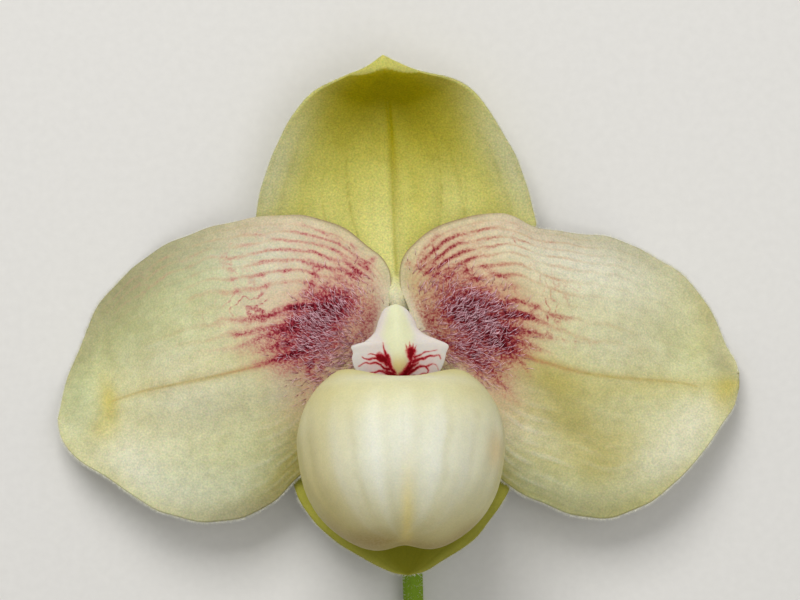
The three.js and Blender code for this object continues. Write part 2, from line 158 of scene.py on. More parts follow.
OVARY_PATH = [(0, 0, -3.5), (0, -0.1, -4.8), (0.1, -4.2, -7.6), (0.4, -10, -8.7),
              (1.1, -20, -8.9), (1.9, -34, -8.9)]
OVARY_RADII = (2.6, 2.5, 2.3, 2.2, 2.1, 1.9)
OVARY_RIBS, OVARY_RIB_SHARE = 6, 0.05
PEDUNCLE_PATH = [(1.9, -34.4, -8.9), (2.4, -50, -9.2), (3.1, -72, -10), (4, -105.6, -11.24)]
PEDUNCLE_RADIUS = 1.8
BRACT_BASE, BRACT_TIP = np.array([2.05, -37, -8.95]), np.array([1.1, -20, -8.9])
BRACT_RADIUS, BRACT_FLARE, BRACT_WRAP = 2.85, 0.3, math.radians(112)
ANTHER_PLACE, ANTHER_RADII = (3.8, -3.5, 4.6), (0.95, 1.2, 1.2)
ANTHER_CLEFT = 0.22  # how deep and how wide its cleft is, against its radii

# Thickness of each sheet in its middle, and the share of it that is left at the margin.
PETAL_SHEET, SEPAL_SHEET, STAMINODE_SHEET = (1.1, 0.4), (1.0, 0.4), (1.2, 0.4)
LIP_SHEET, BRACT_SHEET = (1.0, 0.6), (0.65, 0.5)

# Cells of each grid, from base to tip and from margin to margin or once round.
PETAL_CELLS, DORSAL_CELLS, SYNSEPAL_CELLS = (190, 150), (150, 120), (100, 80)
LIP_CELLS, STAMINODE_CELLS, BRACT_CELLS = (130, 220), (130, 130), (50, 50)
OVARY_CELLS, PEDUNCLE_CELLS = (90, 60), (110, 40)
MERGED, VANISHING = 0.002 * MM, 0.001 * MM  # corners and edges this small are melted away
COLUMN_SEAM, COLUMN_DETAIL = 0.01 * MM, 0.25 * MM  # the gaps it closes, and its finest shape

# Lengths, from and to, and widths of the hairs. They are thicker than real ones, so that they show.
BASE_HAIR_LENGTHS, BASE_HAIR_WIDTH = (0.9, 2.2), 0.1
FRINGE_LENGTHS, FRINGE_WIDTH = (0.25, 0.8), 0.06
STALK_HAIR_LENGTHS, STALK_HAIR_WIDTH = (0.3, 0.9), 0.07
LOWEST_HAIR = 0.03  # mm above the table, so that no hair goes into it


# ---- curves and forms ------------------------------------------------------------------------

def along_curve(points, share):
    """Points at shares of the length of a smooth curve through a few points."""
    points = np.asarray(points, float)
    padded = np.concatenate([points[:1], points, points[-1:]])
    last = len(points) - 1

    def through(t):
        i = np.minimum((t * last).astype(int), last - 1)
        w = (t * last - i)[:, None]
        p0, p1, p2, p3 = (padded[i + k] for k in range(4))
        bend = 2 * p0 - 5 * p1 + 4 * p2 - p3
        return p1 + w * ((p2 - p0) + w * (bend + w * (3 * (p1 - p2) + p3 - p0))) / 2

    steps = np.linspace(0, 1, 201)
    lengths = np.linalg.norm(np.diff(through(steps), axis=0), axis=1)
    travelled = np.concatenate([[0], np.cumsum(lengths)])
    return through(np.interp(np.asarray(share) * travelled[-1], travelled, steps))


def smooth(knots, values, x):
    """A smooth curve through values at knots, taken at x. A row of values may differ by x."""
    knots, values = np.asarray(knots, float), np.asarray(values, float)
    if values.ndim == 1:
        values = np.repeat(values[:, None], x.size, axis=1)
    i = np.clip(np.searchsorted(knots, x) - 1, 0, len(knots) - 2)
    own = np.arange(x.size)
    span = knots[i + 1] - knots[i]
    share = (x - knots[i]) / span

    def slope(k):
        before, after = np.maximum(k - 1, 0), np.minimum(k + 1, len(knots) - 1)
        rise = values[after, own] - values[before, own]
        return rise / (knots[after] - knots[before]) * span

    eased = share**2 * (3 - 2 * share)
    level = values[i, own] * (1 - eased) + values[i + 1, own] * eased
    return level + slope(i) * share * (1 - share) ** 2 - slope(i + 1) * share**2 * (1 - share)


def spread(areas, u, v):
    """The sum of soft areas at each place of a blade."""
    total = np.zeros_like(u)
    for area in areas:
        along, across, length, width, amount = np.divide(area, 100)
        total += amount * np.exp(-(((u - along) / length) ** 2) - ((v - across) / width) ** 2)
    return total


def blade_form(outline, relief, swells=(), ruffle=0.0, creases=()):
    """The middle surface of a petal or sepal: u from base to tip, v from margin to margin.
    ruffle is how far its margins wave in mm, creases are areas where its skin folds along
    the veins."""
    def form(u, v):
        first, midrib, second = (along_curve(line, u) for line in outline)
        side = v[:, None]
        flat = midrib + side * (second - first) / 2 + side**2 * ((first + second) / 2 - midrib)
        # Three waves of different lengths, so that no two bends of a margin are alike.
        waves = np.sin(31 * u + 2 * v) + 0.7 * np.sin(67 * u + v) + 0.5 * np.sin(17 * u - 2 * v)
        waves *= ruffle * v**6 * np.sin(math.pi * u)
        flat = flat + side * unit(second - first) * waves[:, None]
        rows = [smooth(ACROSS, (*depths, *depths[1::-1])[:5], v) for depths in relief.values()]
        depth = smooth(list(relief), np.array(rows), u) + spread(swells, u, v)
        folds = petal_folds(u, v) + np.sin(43 * u + 11 * v) * np.sin(27 * v - 19 * u)
        depth = depth + waves + spread(creases, u, v) * folds * (1 - u**6)
        return np.column_stack([flat, depth])
    return form


def petal_lane(u, v):
    """Veins lie wide apart beside a petal's midrib and close together near its margins."""
    return 8 * v + 5 * v**3 * (1 - 0.5 * u)


def petal_folds(u, v):
    """Short, uneven folds that follow the veins, from 1 on their crests to -1 between them."""
    uneven = np.sin(19 * u + 6 * np.sin(7 * v)) * np.sin(31 * v + 9 * u)
    lane = petal_lane(u, v) + 0.3 * np.sin(23 * u)
    return np.cos(2 * math.pi * lane) * np.clip(uneven + 0.2, 0, 1)


def lip_form(u, v):
    """The slipper's wall: u from toe to rim, v once round its axis from the front."""
    angle = math.pi * (v + 1)
    front = np.maximum(np.cos(angle), 0) ** 2
    back = np.maximum(-np.cos(angle), 0) ** 4
    knots = np.linspace(0, 1, len(LIP_SIDE))
    blend = [(1 - front - back) * LIP_SIDE[:, k, None] + front * LIP_FRONT[:, k, None]
             + back * LIP_BACK[:, k, None] for k in (0, 1)]
    out, height = (smooth(knots, rows, u) for rows in blend)
    ribbed = np.sin(math.pi * np.clip(u / 0.52, 0, 1)) ** 2 * ease(u, 0.05, 0.3)
    out = out + LIP_RIB_HEIGHT * ribbed * np.cos(LIP_RIBS * angle)
    forward = out * np.cos(angle)
    place = np.column_stack([
        out * np.sin(angle),
        height * math.cos(LIP_TILT) + forward * math.sin(LIP_TILT),
        forward * math.cos(LIP_TILT) - height * math.sin(LIP_TILT),
    ])
    away = place / np.linalg.norm(place, axis=1)[:, None]
    near_toe = np.maximum(0, 0.25 - 0.75 * away[:, 1]) * ease(away[:, 2], -1, 0.1)
    across = (place[:, 0] - LIP_CLEFT_ACROSS) / LIP_CLEFT_WIDTH
    cleft = LIP_CLEFT_DEPTH * near_toe * np.exp(-(across**2))
    return place - away * cleft[:, None] + LIP_CENTRE


def stalk_form(path, radius):
    """A stalk along a path: u along it, v once round it. radius(u, angle) is its radius."""
    near = 0.004

    def form(u, v):
        centre = along_curve(path, u)
        ahead = along_curve(path, np.minimum(u + near, 1)) - along_curve(path, np.maximum(u - near, 0))
        up = unit(np.cross(unit(ahead), (1, 0, 0)))
        out = np.cross(up, unit(ahead))
        angle = math.pi * (v + 1)
        r = radius(u, angle)[:, None]
        return centre + r * (out * np.cos(angle)[:, None] + up * np.sin(angle)[:, None])
    return form


def bract_form(u, v):
    """The bract clasps the foot of the ovary from below and narrows to a point."""
    angle = BRACT_WRAP * (1 - u**3) ** 0.7 * v
    out = np.column_stack([-np.sin(angle), np.zeros_like(angle), -np.cos(angle)])
    line = BRACT_BASE + u[:, None] * (BRACT_TIP - BRACT_BASE)
    return line + out * (BRACT_RADIUS + BRACT_FLARE * u)[:, None]


def unit(vectors):
    """The same directions with a length of 1."""
    return vectors / np.maximum(np.linalg.norm(vectors, axis=1), 1e-9)[:, None]


def ease(x, start, end):
    """0 before start, 1 after end, and a soft step between them."""
    share = np.clip((x - start) / (end - start), 0, 1)
    return share**2 * (3 - 2 * share)


def facing(form, u, v):
    """Unit normals of a form, on the side that faces up."""
    near = 0.004
    inside = np.minimum(u, 1 - near)
    a = form(np.minimum(u + near, 1 - near), v) - form(np.clip(u - near, 0, 1 - 3 * near), v)
    b = form(inside, np.minimum(v + near, 1)) - form(inside, np.maximum(v - near, -1))
    normal = unit(np.cross(a, b))
    return normal * np.where(normal[:, 2] < 0, -1, 1)[:, None]


# ---- making meshes ---------------------------------------------------------------------------

def pick_only(piece):
    bpy.ops.object.select_all(action="DESELECT")
    piece.select_set(True)
    bpy.context.view_layer.objects.active = piece


def named(name):
    piece = bpy.context.object
    piece.name = piece.data.name = name
    return piece


def corners(piece):
    flat = np.empty(len(piece.data.vertices) * 3)
    piece.data.vertices.foreach_get("co", flat)
    return flat.reshape(-1, 3)


def move_corners(piece, places):
    piece.data.vertices.foreach_set("co", np.asarray(places, float).ravel())
    piece.data.update()


def shade_smooth(piece):
    pick_only(piece)
    bpy.ops.object.shade_smooth()


def in_edit_mode(piece, *steps):
    """Runs edit-mode operators, each as (operator, its settings), on the whole of a piece."""
    pick_only(piece)
    bpy.ops.object.mode_set(mode="EDIT")
    bpy.ops.mesh.select_all(action="SELECT")
    for operator, settings in steps:
        operator(**settings)
    bpy.ops.object.mode_set(mode="OBJECT")


def apply_modifier(piece, kind, **settings):
    pick_only(piece)
    modifier = piece.modifiers.new(kind, kind)
    for setting, value in settings.items():
        setattr(modifier, setting, value)
    bpy.ops.object.modifier_apply(modifier=modifier.name)


def record_on(piece, **fields):
    """Stores a number for every corner under each name, for the materials to read."""
    for name, values in fields.items():
        layer = piece.data.attributes.new(name, "FLOAT", "POINT")
        layer.data.foreach_set("value", np.asarray(values, np.float32))


def tissue(name, form, cells, fields, closed=False):
    """A sheet of tissue: a flat grid of cells stretched over a form, front side up. fields(u, v,
    places) gives the numbers that its material reads."""
    bpy.ops.object.select_all(action="DESELECT")
    bpy.ops.mesh.primitive_grid_add(x_subdivisions=cells[0], y_subdivisions=cells[1], size=1)
    piece = named(name)
    flat = corners(piece)
    u, v = flat[:, 0] + 0.5, 2 * flat[:, 1]
    places = form(u, v)
    record_on(piece, **fields(u, v, places))
    move_corners(piece, (places + CENTRE) * MM)
    in_edit_mode(
        piece,
        (bpy.ops.mesh.remove_doubles, {"threshold": MERGED}),
        (bpy.ops.mesh.dissolve_degenerate, {"threshold": VANISHING}),
    )
    if closed:
        in_edit_mode(piece, (bpy.ops.mesh.normals_make_consistent, {"inside": False}))
    elif sum(face.normal.z * face.area for face in piece.data.polygons) <= 0:
        in_edit_mode(piece, (bpy.ops.mesh.flip_normals, {}))
    return piece


def thicken(piece, sheet):
    """Gives a sheet of tissue its thickness, thinning to its margins, with a rim that is shaded smooth.
    """
    thickness, margin_share = sheet
    body = np.empty(len(piece.data.vertices), np.float32)
    piece.data.attributes["body"].data.foreach_get("value", body)
    shares = piece.vertex_groups.new(name="share_of_thickness")
    for corner, share in enumerate(margin_share + (1 - margin_share) * body):
        shares.add([corner], float(share), "REPLACE")
    apply_modifier(
        piece, "SOLIDIFY", thickness=thickness * MM, offset=0, vertex_group=shares.name,
        use_quality_normals=True, use_rim=True, material_offset=1, material_offset_rim=2,
    )
    piece.vertex_groups.clear()
    shade_smooth(piece)


def lie_on_table(form, sheet):
    """The form, raised where its back would dip under the table, so that it lies flat there."""
    soft = 0.15  # mm above the table where it starts to rise

    def laid(u, v):
        places = form(u, v)
        height = places[:, 2] - sheet[0] / 2 + CENTRE[2]
        raised = np.where(height <= -soft, -height, (height + soft) ** 2 / (4 * soft) - height)
        places[:, 2] += np.where(height >= soft, 0, raised)
        return places
    return laid


# ---- what the tissues carry ------------------------------------------------------------------

# The soft areas of each petal. Swells and creases shape it, in mm; the others are strengths.
# flush is the crimson at its base, reach the zone where its veins show pink, and the rest tint
# its ground: olive is painted shade in its valleys, under the lip and on parts that turn away,
# with a little of its own ochre; pale is partly painted light on its swells and partly its own
# paler cream; the grey-brown margin tint is painted shade along its margins; green and gold are
# its own tints.
RIGHT_PETAL_AREAS = {
    "swells": [
        (40, -30, 10, 15, -80), (50, -52, 11, 16, -110), (60, -80, 12, 20, -70),
        (65, -100, 16, 16, -80), (80, -55, 14, 30, 100),
    ],
    "creases": [(36, -75, 18, 35, 8), (30, 70, 15, 30, 3), (70, -30, 30, 50, 3.5)],
    "flush": [
        (20, 12, 17, 50, 22), (13, 60, 6, 20, 20), (17.5, 30, 7.5, 20, 75), (20, 62, 8, 15, 20),
        (24, 8, 8.5, 17, 43), (31, 20, 7, 14, 10), (33, 20, 10, 20, 15), (15, -15, 7, 20, 50),
        (9, -40, 5, 30, 30), (26, -12, 8, 16, 20), (6, 20, 4, 60, 40), (25, 42, 7, 10, 22),
        (25, -36, 10, 18, 22), (20, 92, 5, 10, 18),
    ],
    "reach": [
        (20, 85, 12, 20, 90), (30, 60, 14, 30, 70), (34, 25, 14, 25, 80), (46, 85, 16, 30, 60),
        (24, -35, 8, 25, 60), (50, 42, 14, 30, 60),
    ],
    # painted shade in the valleys, under the lip and on the lower margin that turns away
    "olive": [
        (42, -14, 10, 14, 55), (50, -36, 10, 16, 43), (58, -61, 10, 17, 60), (42, -42, 8, 12, 25),
        (38, -95, 14, 30, 45), (97, -20, 5, 80, 70), (87, 80, 8, 40, 30), (30, 40, 6, 20, 30),
        (10, 72, 5, 25, 40), (62, -97, 18, 20, 75), (33, -95, 6, 15, 50),
    ],
    # partly painted light on the swells and folds, partly the petal's own paler cream
    "pale": [
        (84, -55, 10, 30, 60), (45, 80, 20, 30, 80), (62, 75, 16, 30, 50), (62, 20, 14, 25, 30),
        (40, -60, 12, 12, 20), (80, -85, 10, 15, 30), (31, -68, 5, 12, 25), (72, -70, 8, 20, 35),
        (42, -86, 12, 8, 30), (60, -84, 10, 10, 20),
    ],
    # painted shade along the margins that turn away from the light
    "ashen": [(54, -95, 12, 10, 40), (62, 98, 22, 14, 35), (94, 60, 5, 40, 40)],
    "green": [(85, 40, 12, 40, 30), (60, -10, 20, 20, 20), (50, -93, 25, 20, 50)],
    "gold": [(96, -35, 5, 40, 80), (70, -6, 25, 14, 50), (42, -14, 12, 14, 50), (55, -40, 15, 20, 30)],
}
LEFT_PETAL_AREAS = {
    "swells": [(85, 0, 4.5, 50, -25), (45, -35, 20, 17, -80), (62, -65, 20, 30, 90)],
    "creases": [(36, -70, 20, 40, 4.5), (30, 70, 15, 30, 3), (60, 30, 30, 60, 3.5)],
    "flush": [
        (20, 12, 17, 50, 22), (15, 55, 6, 20, 28), (19, 28, 8, 20, 58), (20, 43, 8, 12, 25),
        (27, 26, 8, 14, 10), (26, 12, 9, 15, 28), (36, 20, 8, 14, 15), (13, 80, 3.5, 12, 26),
        (42, 30, 8, 14, 8), (17, -8, 7, 16, 34), (9, -40, 5, 30, 30), (29, -4, 9, 14, 30),
        (6, 20, 4, 60, 40), (23, -38, 10, 20, 17),
    ],
    "reach": [
        (20, 85, 12, 20, 90), (32, 62, 14, 30, 80), (34, 25, 16, 25, 80), (50, 80, 16, 25, 50),
        (68, 86, 15, 20, 65), (24, -30, 8, 25, 60), (48, 38, 13, 30, 65),
    ],
    # painted shade under the lip and on the margins that turn back, with the ochre of a crease
    "olive": [
        (84, 0, 2.5, 30, 25), (56, -42, 8, 20, 20), (37, -95, 14, 30, 95), (32, -98, 8, 14, 100),
        (70, 92, 24, 35, 50), (62, -95, 20, 20, 30), (88, -50, 3, 30, 35), (30, -65, 6, 20, 35),
    ],
    # partly painted light on the swells, partly the petal's own paler cream
    "pale": [
        (70, -60, 20, 30, 45), (36, 80, 18, 30, 70), (35, 50, 8, 30, 40), (55, -10, 16, 25, 45),
        (68, -85, 16, 15, 50), (32, -22, 5, 15, 40), (8, 75, 4, 15, 40), (52, -76, 12, 14, 30),
        (78, -70, 8, 20, 40), (65, 10, 10, 25, 30),
    ],
    # painted shade along the margins that turn away from the light
    "ashen": [(66, 96, 24, 26, 55), (50, -98, 13, 10, 55), (95, 10, 6, 70, 16)],
    "green": [
        (93, 20, 7, 80, 60), (72, 70, 25, 40, 50), (50, -60, 20, 30, 25), (45, 70, 20, 30, 30),
        (60, -80, 25, 25, 30),
    ],
    "gold": [(84, -2, 3, 42, 75), (87, -40, 3, 20, 40), (60, 5, 25, 12, 25)],
}
# The pink round the flush, alike on both petals.
PETAL_BLUSH = [
    (19, 30, 14, 50, 80), (16, 85, 9, 20, 35), (22, -45, 13, 30, 60), (36, 42, 12, 32, 25),
    (38, 95, 14, 12, 45),
]

# The strongest streaks: half width at the root, strength, and places along and across.
RIGHT_STREAKS = [
    (0.35, 0.8, (11.2, 95), (12.5, 87), (15, 82)),
    (0.4, 0.8, (13, 82), (20, 88), (30, 93.5)),
    (0.3, 0.75, (14, 85), (16.5, 91), (20, 95)),
    (0.35, 0.78, (14, 75), (20, 82), (29, 88), (38, 95)),
    (0.3, 0.75, (15, 70), (20, 76), (28, 80), (35, 86)),
    (0.3, 0.6, (17, 64), (25, 72), (36, 80), (46, 90)),
    (0.35, 0.8, (22.5, 68), (22.2, 61), (24, 55)),
    (0.35, 0.65, (26.5, 63), (29, 56), (32, 50), (33, 40)),
    (0.6, 0.55, (27, 29), (34, 26), (39, 29), (49, 34)),
    (0.4, 0.7, (36, 29), (38.5, 36), (41.5, 41)),
    (0.45, 0.6, (28, 12), (38, 15), (46, 17), (56, 21)),
    (0.4, 0.6, (27, 4), (34, 6), (42, 5)),
    (0.4, 0.6, (28, -6), (33, -10), (36, -18)),
    (0.45, 0.7, (18, -18), (20, -28), (19.5, -38)),
    (0.35, 0.5, (22, -22), (26, -33), (33, -42)),
    (0.4, 0.75, (24, 1), (33, -3.5), (42, -3.5), (52, -2)),
]
LEFT_STREAKS = [
    (0.3, 0.9, (12.2, 95), (13.2, 87), (15, 85), (18, 87), (20, 85)),
    (0.25, 0.8, (17.8, 93), (16.6, 89), (17.2, 86)),
    (0.3, 0.8, (13, 84), (14, 86), (15, 85)),
    (0.3, 0.7, (20, 90), (25, 92), (32, 96)),
    (0.35, 0.75, (14, 74), (20, 82), (28, 88), (34, 93)),
    (0.35, 0.7, (15, 70), (24, 77), (33, 84), (42, 93)),
    (0.3, 0.6, (18, 66), (28, 74), (38, 81), (46, 88)),
    (0.3, 0.4, (30, 66), (40, 73), (50, 82), (58, 90)),
    (0.4, 0.9, (23, 67), (25, 68), (27.5, 69.5)),
    (0.45, 0.85, (25, 69), (24, 60), (25, 50)),
    (0.3, 0.55, (31, 64), (31.2, 59), (30.5, 54)),
    (0.3, 0.5, (36.5, 62), (35.2, 53), (37, 44), (36, 34)),
    (0.28, 0.6, (44.2, 69), (43, 57), (41, 43)),
    (0.55, 0.55, (27, 36), (34, 34), (40, 32.5), (48, 33)),
    (0.4, 0.7, (28, 22), (36, 20), (45, 16.5), (56, 19)),
    (0.4, 0.55, (30, 10), (38, 10), (44, 10)),
    (0.25, 0.35, (40.5, 31), (41, 25), (40.5, 18)),
    (0.25, 0.35, (43, 17), (43.5, 10), (43, 2)),
    (0.45, 0.85, (23.5, -14), (24, -22), (21.5, -35)),
    (0.4, 0.6, (19, -20), (20.5, -26), (21, -30)),
    (0.35, 0.6, (24, 3), (33, 1), (42, 0), (50, 0)),
]
# The midrib's own line: brown-red from the flush, fading to olive towards the tip.
RIGHT_MIDRIB = [(0.3, 1, (26, 1), (33, -3.5), (45, -3), (60, 0), (72, 1),
                 (82, -1), (87, -7))]
LEFT_MIDRIB = [(0.28, 1, (26, 3), (33, 1), (45, 0), (60, -0.5), (74, 1), (83, 0))]

# The staminode's crimson marks, with their places in mm from the flower's centre.
STAMINODE_MARKS = [
    (0.24, 1, (-2.1, -6.6), (-2.5, -5.4), (-2.75, -4.2)),
    (0.55, 1.3, (-3.4, -6.5), (-2.4, -7), (-1.5, -8.1), (-0.7, -9.2)),
    (0.4, 1.2, (-2, -6.5), (-1.7, -7.2), (-1.3, -8)),
    (0.2, 1, (-2.6, -6.7), (-3.6, -6.3), (-4.6, -6.1), (-5.6, -6.1)),
    (0.26, 1.1, (-2.4, -7.2), (-3.5, -6.9), (-4.7, -6.8), (-5.7, -6.9), (-6.7, -6.6)),
    (0.26, 1, (-1.6, -8.6), (-2.6, -8.2), (-3.4, -7.7), (-4.5, -7.6), (-6.1, -7.6), (-7.3, -8.1)),
    (0.32, 1.1, (-0.4, -9.9), (-1.8, -9.3), (-3.3, -9), (-4.6, -9.2), (-5.6, -9.5)),
    (0.3, 1, (-1, -9.4), (-2, -8.9), (-3, -8.7)),
    (0.65, 1.3, (1.7, -5.6), (1.6, -6.4), (1.7, -7.2)),
    (0.14, 0.9, (1.1, -5.4), (0.85, -4.3)),
    (0.14, 0.9, (1.45, -5.2), (1.4, -4.1)),
    (0.14, 0.9, (1.9, -5.2), (2.1, -4.2)),
    (0.14, 0.9, (2.2, -5.4), (2.7, -4.4)),
    (0.5, 1.3, (0.5, -9.5), (1.1, -8.3), (1.7, -7)),
    (0.4, 1.2, (1.2, -8.6), (2, -7.9), (2.9, -7.6)),
    (0.18, 0.9, (2.2, -6.7), (3.6, -6), (5.3, -5.5), (6.6, -5.3)),
    (0.26, 1.1, (2, -7.3), (3.7, -6.8), (5.3, -6.4), (6.7, -6.2), (7.2, -6.8)),
    (0.3, 1.1, (1.2, -9.2), (2.7, -8.4), (4.1, -8.1), (5, -8.7), (4.7, -9.5)),
    (0.18, 0.8, (4.4, -8.2), (5.7, -7.8), (6.6, -8.2), (6.8, -9)),
    (0.2, 1, (1.6, -10), (3.6, -9.6), (5.1, -9.3)),
]

# The top sepal has painted olive shade under its hood and in its valleys and folds, is pale near
# its claw, and has a pale painted sheen at its sides. Its veins have their places in mm.
DORSAL_PAINTED_SHADE = [
    (90, 0, 15, 200, 100), (80, 90, 14, 30, 40), (80, -90, 14, 30, 25), (70, 0, 10, 80, 25),
    (25, 4, 30, 4, 30), (65, 35, 20, 35, 48), (70, -45, 20, 35, 30), (55, 1, 35, 3.5, 50),
]
DORSAL_PALE = [(30, -10, 20, 20, 60), (10, 0, 12, 80, 50), (42, 45, 12, 20, 45), (40, -50, 12, 20, 30)]
DORSAL_SIDE_SHEEN = [(55, 100, 20, 22, 90), (55, -100, 20, 22, 90)]
DORSAL_MIDRIB = [(0.3, 0.9, (-0.7, 8), (-1.1, 18), (-1.6, 30), (-2.3, 40))]
DORSAL_SIDE_VEINS = [
    (0.16, 1, (-7.6, 15), (-9.2, 21), (-9.9, 28), (-9, 34.5)),
    (0.16, 1, (6.8, 16), (7.6, 22), (7.3, 28), (6.3, 34), (3.4, 39.5)),
    (0.14, 0.6, (-13.5, 18), (-14.4, 23), (-13.6, 30)),
    (0.14, 0.6, (11.6, 18), (12.2, 24), (11.2, 31)),
    (0.12, 0.4, (-17.6, 18), (-18.2, 23), (-16.8, 30)),
    (0.12, 0.4, (16.6, 17), (17.2, 22), (15.6, 29)),
]

# Soft stripes and areas of the lip: the places across are degrees round its axis.
LIP_STRIPES = [
    (27, -40, 15, 5, 60), (27, -15, 16, 4, 100), (30, 2, 15, 5, 60), (27, 21, 16, 5, 90),
    (27, 43, 15, 5, 60),
]
# partly the lip's own olive lines, partly painted shade on its toe, flanks and lower sides
LIP_OLIVE_AND_SHADE = [
    (0, 0, 14, 400, 68), (32, -66, 24, 32, 90), (40, 90, 50, 22, 12), (15, -50, 15, 30, 50),
    (15, 50, 15, 30, 30), (28, -27, 16, 4, 40), (45, 45, 40, 10, 25), (28, -8, 16, 3, 30),
    (28, 10, 16, 4, 30), (28, 32, 16, 5, 30),
]
# painted light on the top rim and on both sides
LIP_PAINTED_LIGHT = [(60, 0, 7, 75, 45), (38, 72, 14, 20, 50), (40, -72, 12, 20, 30)]

PETAL_CROSS_VEINS = 20  # from base to tip
SEPAL_LANES = 6  # veins on each side of the midrib
STREAK_STRENGTH = 0.44  # a streak of strength 1 against the full flush


def fullness(u, v):
    """How thick a blade is: 1 in its middle, 0 at its margins."""
    return (1 - np.abs(v) ** 6) * (1 - u**10)


def pencilled(places, strokes, form=None, halo=0.0):
    """How strongly pigment lies at each place, from 0 at a stroke's edge to its strength on its
    middle line, with a faint halo of about a millimetre. Strokes thin out and fade towards their
    ends. Their points are mm, or hundredths along and across a form if it is given."""
    cover = np.zeros(len(places))
    for width, strength, *points in strokes:
        line = along_curve(points, np.linspace(0, 1, 5 * len(points)))
        if form:
            line = form(*line.T / 100)
        here = places[:, :line.shape[1]]
        for step, (start, end) in enumerate(zip(line[:-1], line[1:])):
            along = end - start
            share = np.clip((here - start) @ along / (along @ along), 0, 1)
            gap = np.linalg.norm(here - start - share[:, None] * along, axis=1)
            gone = (step + share) / (len(line) - 1)
            core = (1 - halo) * np.maximum(0, 1 - gap / (2 * width * (1 - 0.6 * gone)))
            ink = strength * (1 - 0.35 * gone) * (core + halo * np.exp(-((gap / 0.9) ** 2)))
            cover = np.maximum(cover, ink)
    return cover


def petal_fields(form, areas, streaks, midrib):
    """What a petal's skin carries: its own tints, veins and net, flush, streaks and midrib."""
    def fields(u, v, places):
        # a painted highlight on the crests of the folds, added to the pale tint
        fold_crest_highlight = 6 * spread(areas["creases"], u, v) * np.maximum(0, petal_folds(u, v)) * (1 - u**6)
        return {
            **{tint: spread(areas[tint], u, v) for tint in ("olive", "ashen", "green", "gold")},
            "body": fullness(u, v),
            "lane": petal_lane(u, v),
            "step": PETAL_CROSS_VEINS * u,
            "veined": (0.2 + 0.8 * ease(u, 0.05, 0.2) * ease(u, 0.8, 0.4)) * ease(v, -0.6, 0.3),
            # a thin painted shadow along the inner upper margin, where it is rolled back over the top
            # sepal
            "inner_edge": ease(v, 0.975, 1) * ease(u, 0.4, 0.25),
            "flush": spread(areas["flush"], u, v) * ease(u, 0.01, 0.05),
            "reach": spread(areas["reach"], u, v) * ease(np.abs(v), 0.99, 0.95),
            "streak": STREAK_STRENGTH * pencilled(places, streaks, form, halo=0.5),
            "midrib": pencilled(places, midrib, form, halo=0.35),
            "blush": spread(PETAL_BLUSH, u, v),
            "pale": spread(areas["pale"], u, v) + fold_crest_highlight,
            "base": ease(u, 0.1, 0.02),
        }
    return fields


def dorsal_fields(u, v, places):
    """What the top sepal's skin carries. Painted shade fills its hood and stops at a strip along the
    turned edge, which is painted a little lighter.
    """
    crease = 0.945 - 0.05 * v**2
    margin = ease(np.abs(v), 0.965, 0.98) * ease(u, 0.6, 0.8)
    lit_edge_strip = np.maximum(ease(u, crease, crease + 0.007), margin)
    return {
        "body": fullness(u, v),
        "lane": SEPAL_LANES * v,
        "veined": ease(u, 0.02, 0.2) * ease(u, 0.9, 0.5),
        "midrib": pencilled(places, DORSAL_MIDRIB),
        "side_vein": pencilled(places, DORSAL_SIDE_VEINS),
        # painted shade under the hood and in the valleys and folds, kept off the lit edge
        "olive": spread(DORSAL_PAINTED_SHADE, u, v) * (1 - lit_edge_strip),
        "pale": np.clip(spread(DORSAL_PALE, u, v) + 0.15 * lit_edge_strip, 0, 1),
        # painted sheen of the hairs on the sides
        "grey": spread(DORSAL_SIDE_SHEEN, u, v),
        "base": ease(u, 0.16, 0.03),
    }


def synsepal_fields(u, v, places):
    """The synsepal is olive in its middle, partly its own colour and partly painted shadow of the lip
    that hangs over it, and pale along its margins.
    """
    return {
        "body": fullness(u, v),
        "lane": SEPAL_LANES * v,
        "veined": ease(u, 0.02, 0.2),
        "olive": 0.8 * ease(np.abs(v), 0.95, 0.5),
        "pale": 0.7 * ease(np.abs(v), 0.85, 1),
    }


def staminode_fields(u, v, places):
    """The staminode has a greenish keel that turns gold towards its tip, and wavering marks."""
    x, y = places[:, 0], places[:, 1]
    keel_width = np.interp(-y, (-2.6, 3, 5, 7.4, 9.5), (1, 2.6, 1.9, 1.1, 0.4))
    middle = np.interp(-y, (-2.6, 0, 5), (-0.8, -0.6, -0.2))
    waver = np.sin(2.6 * x + 1.3 * y) + 0.6 * np.sin(1.9 * y - 4.1 * x + 1)
    wavy = places[:, :2] + 0.08 * np.column_stack([0.5 * waver, waver])
    return {
        "body": fullness(u, v),
        "streak": pencilled(wavy, STAMINODE_MARKS, halo=0.22),
        "keel": ease(np.abs(x - middle), keel_width + 1, keel_width - 1),
        "gold": ease(-y, 5.2, 8.5) * ease(np.abs(x), 1.6, 0.7),
        "blush": ease(-y, 5.8, 7.5) * ease(np.abs(x), 7.6, 5),
    }


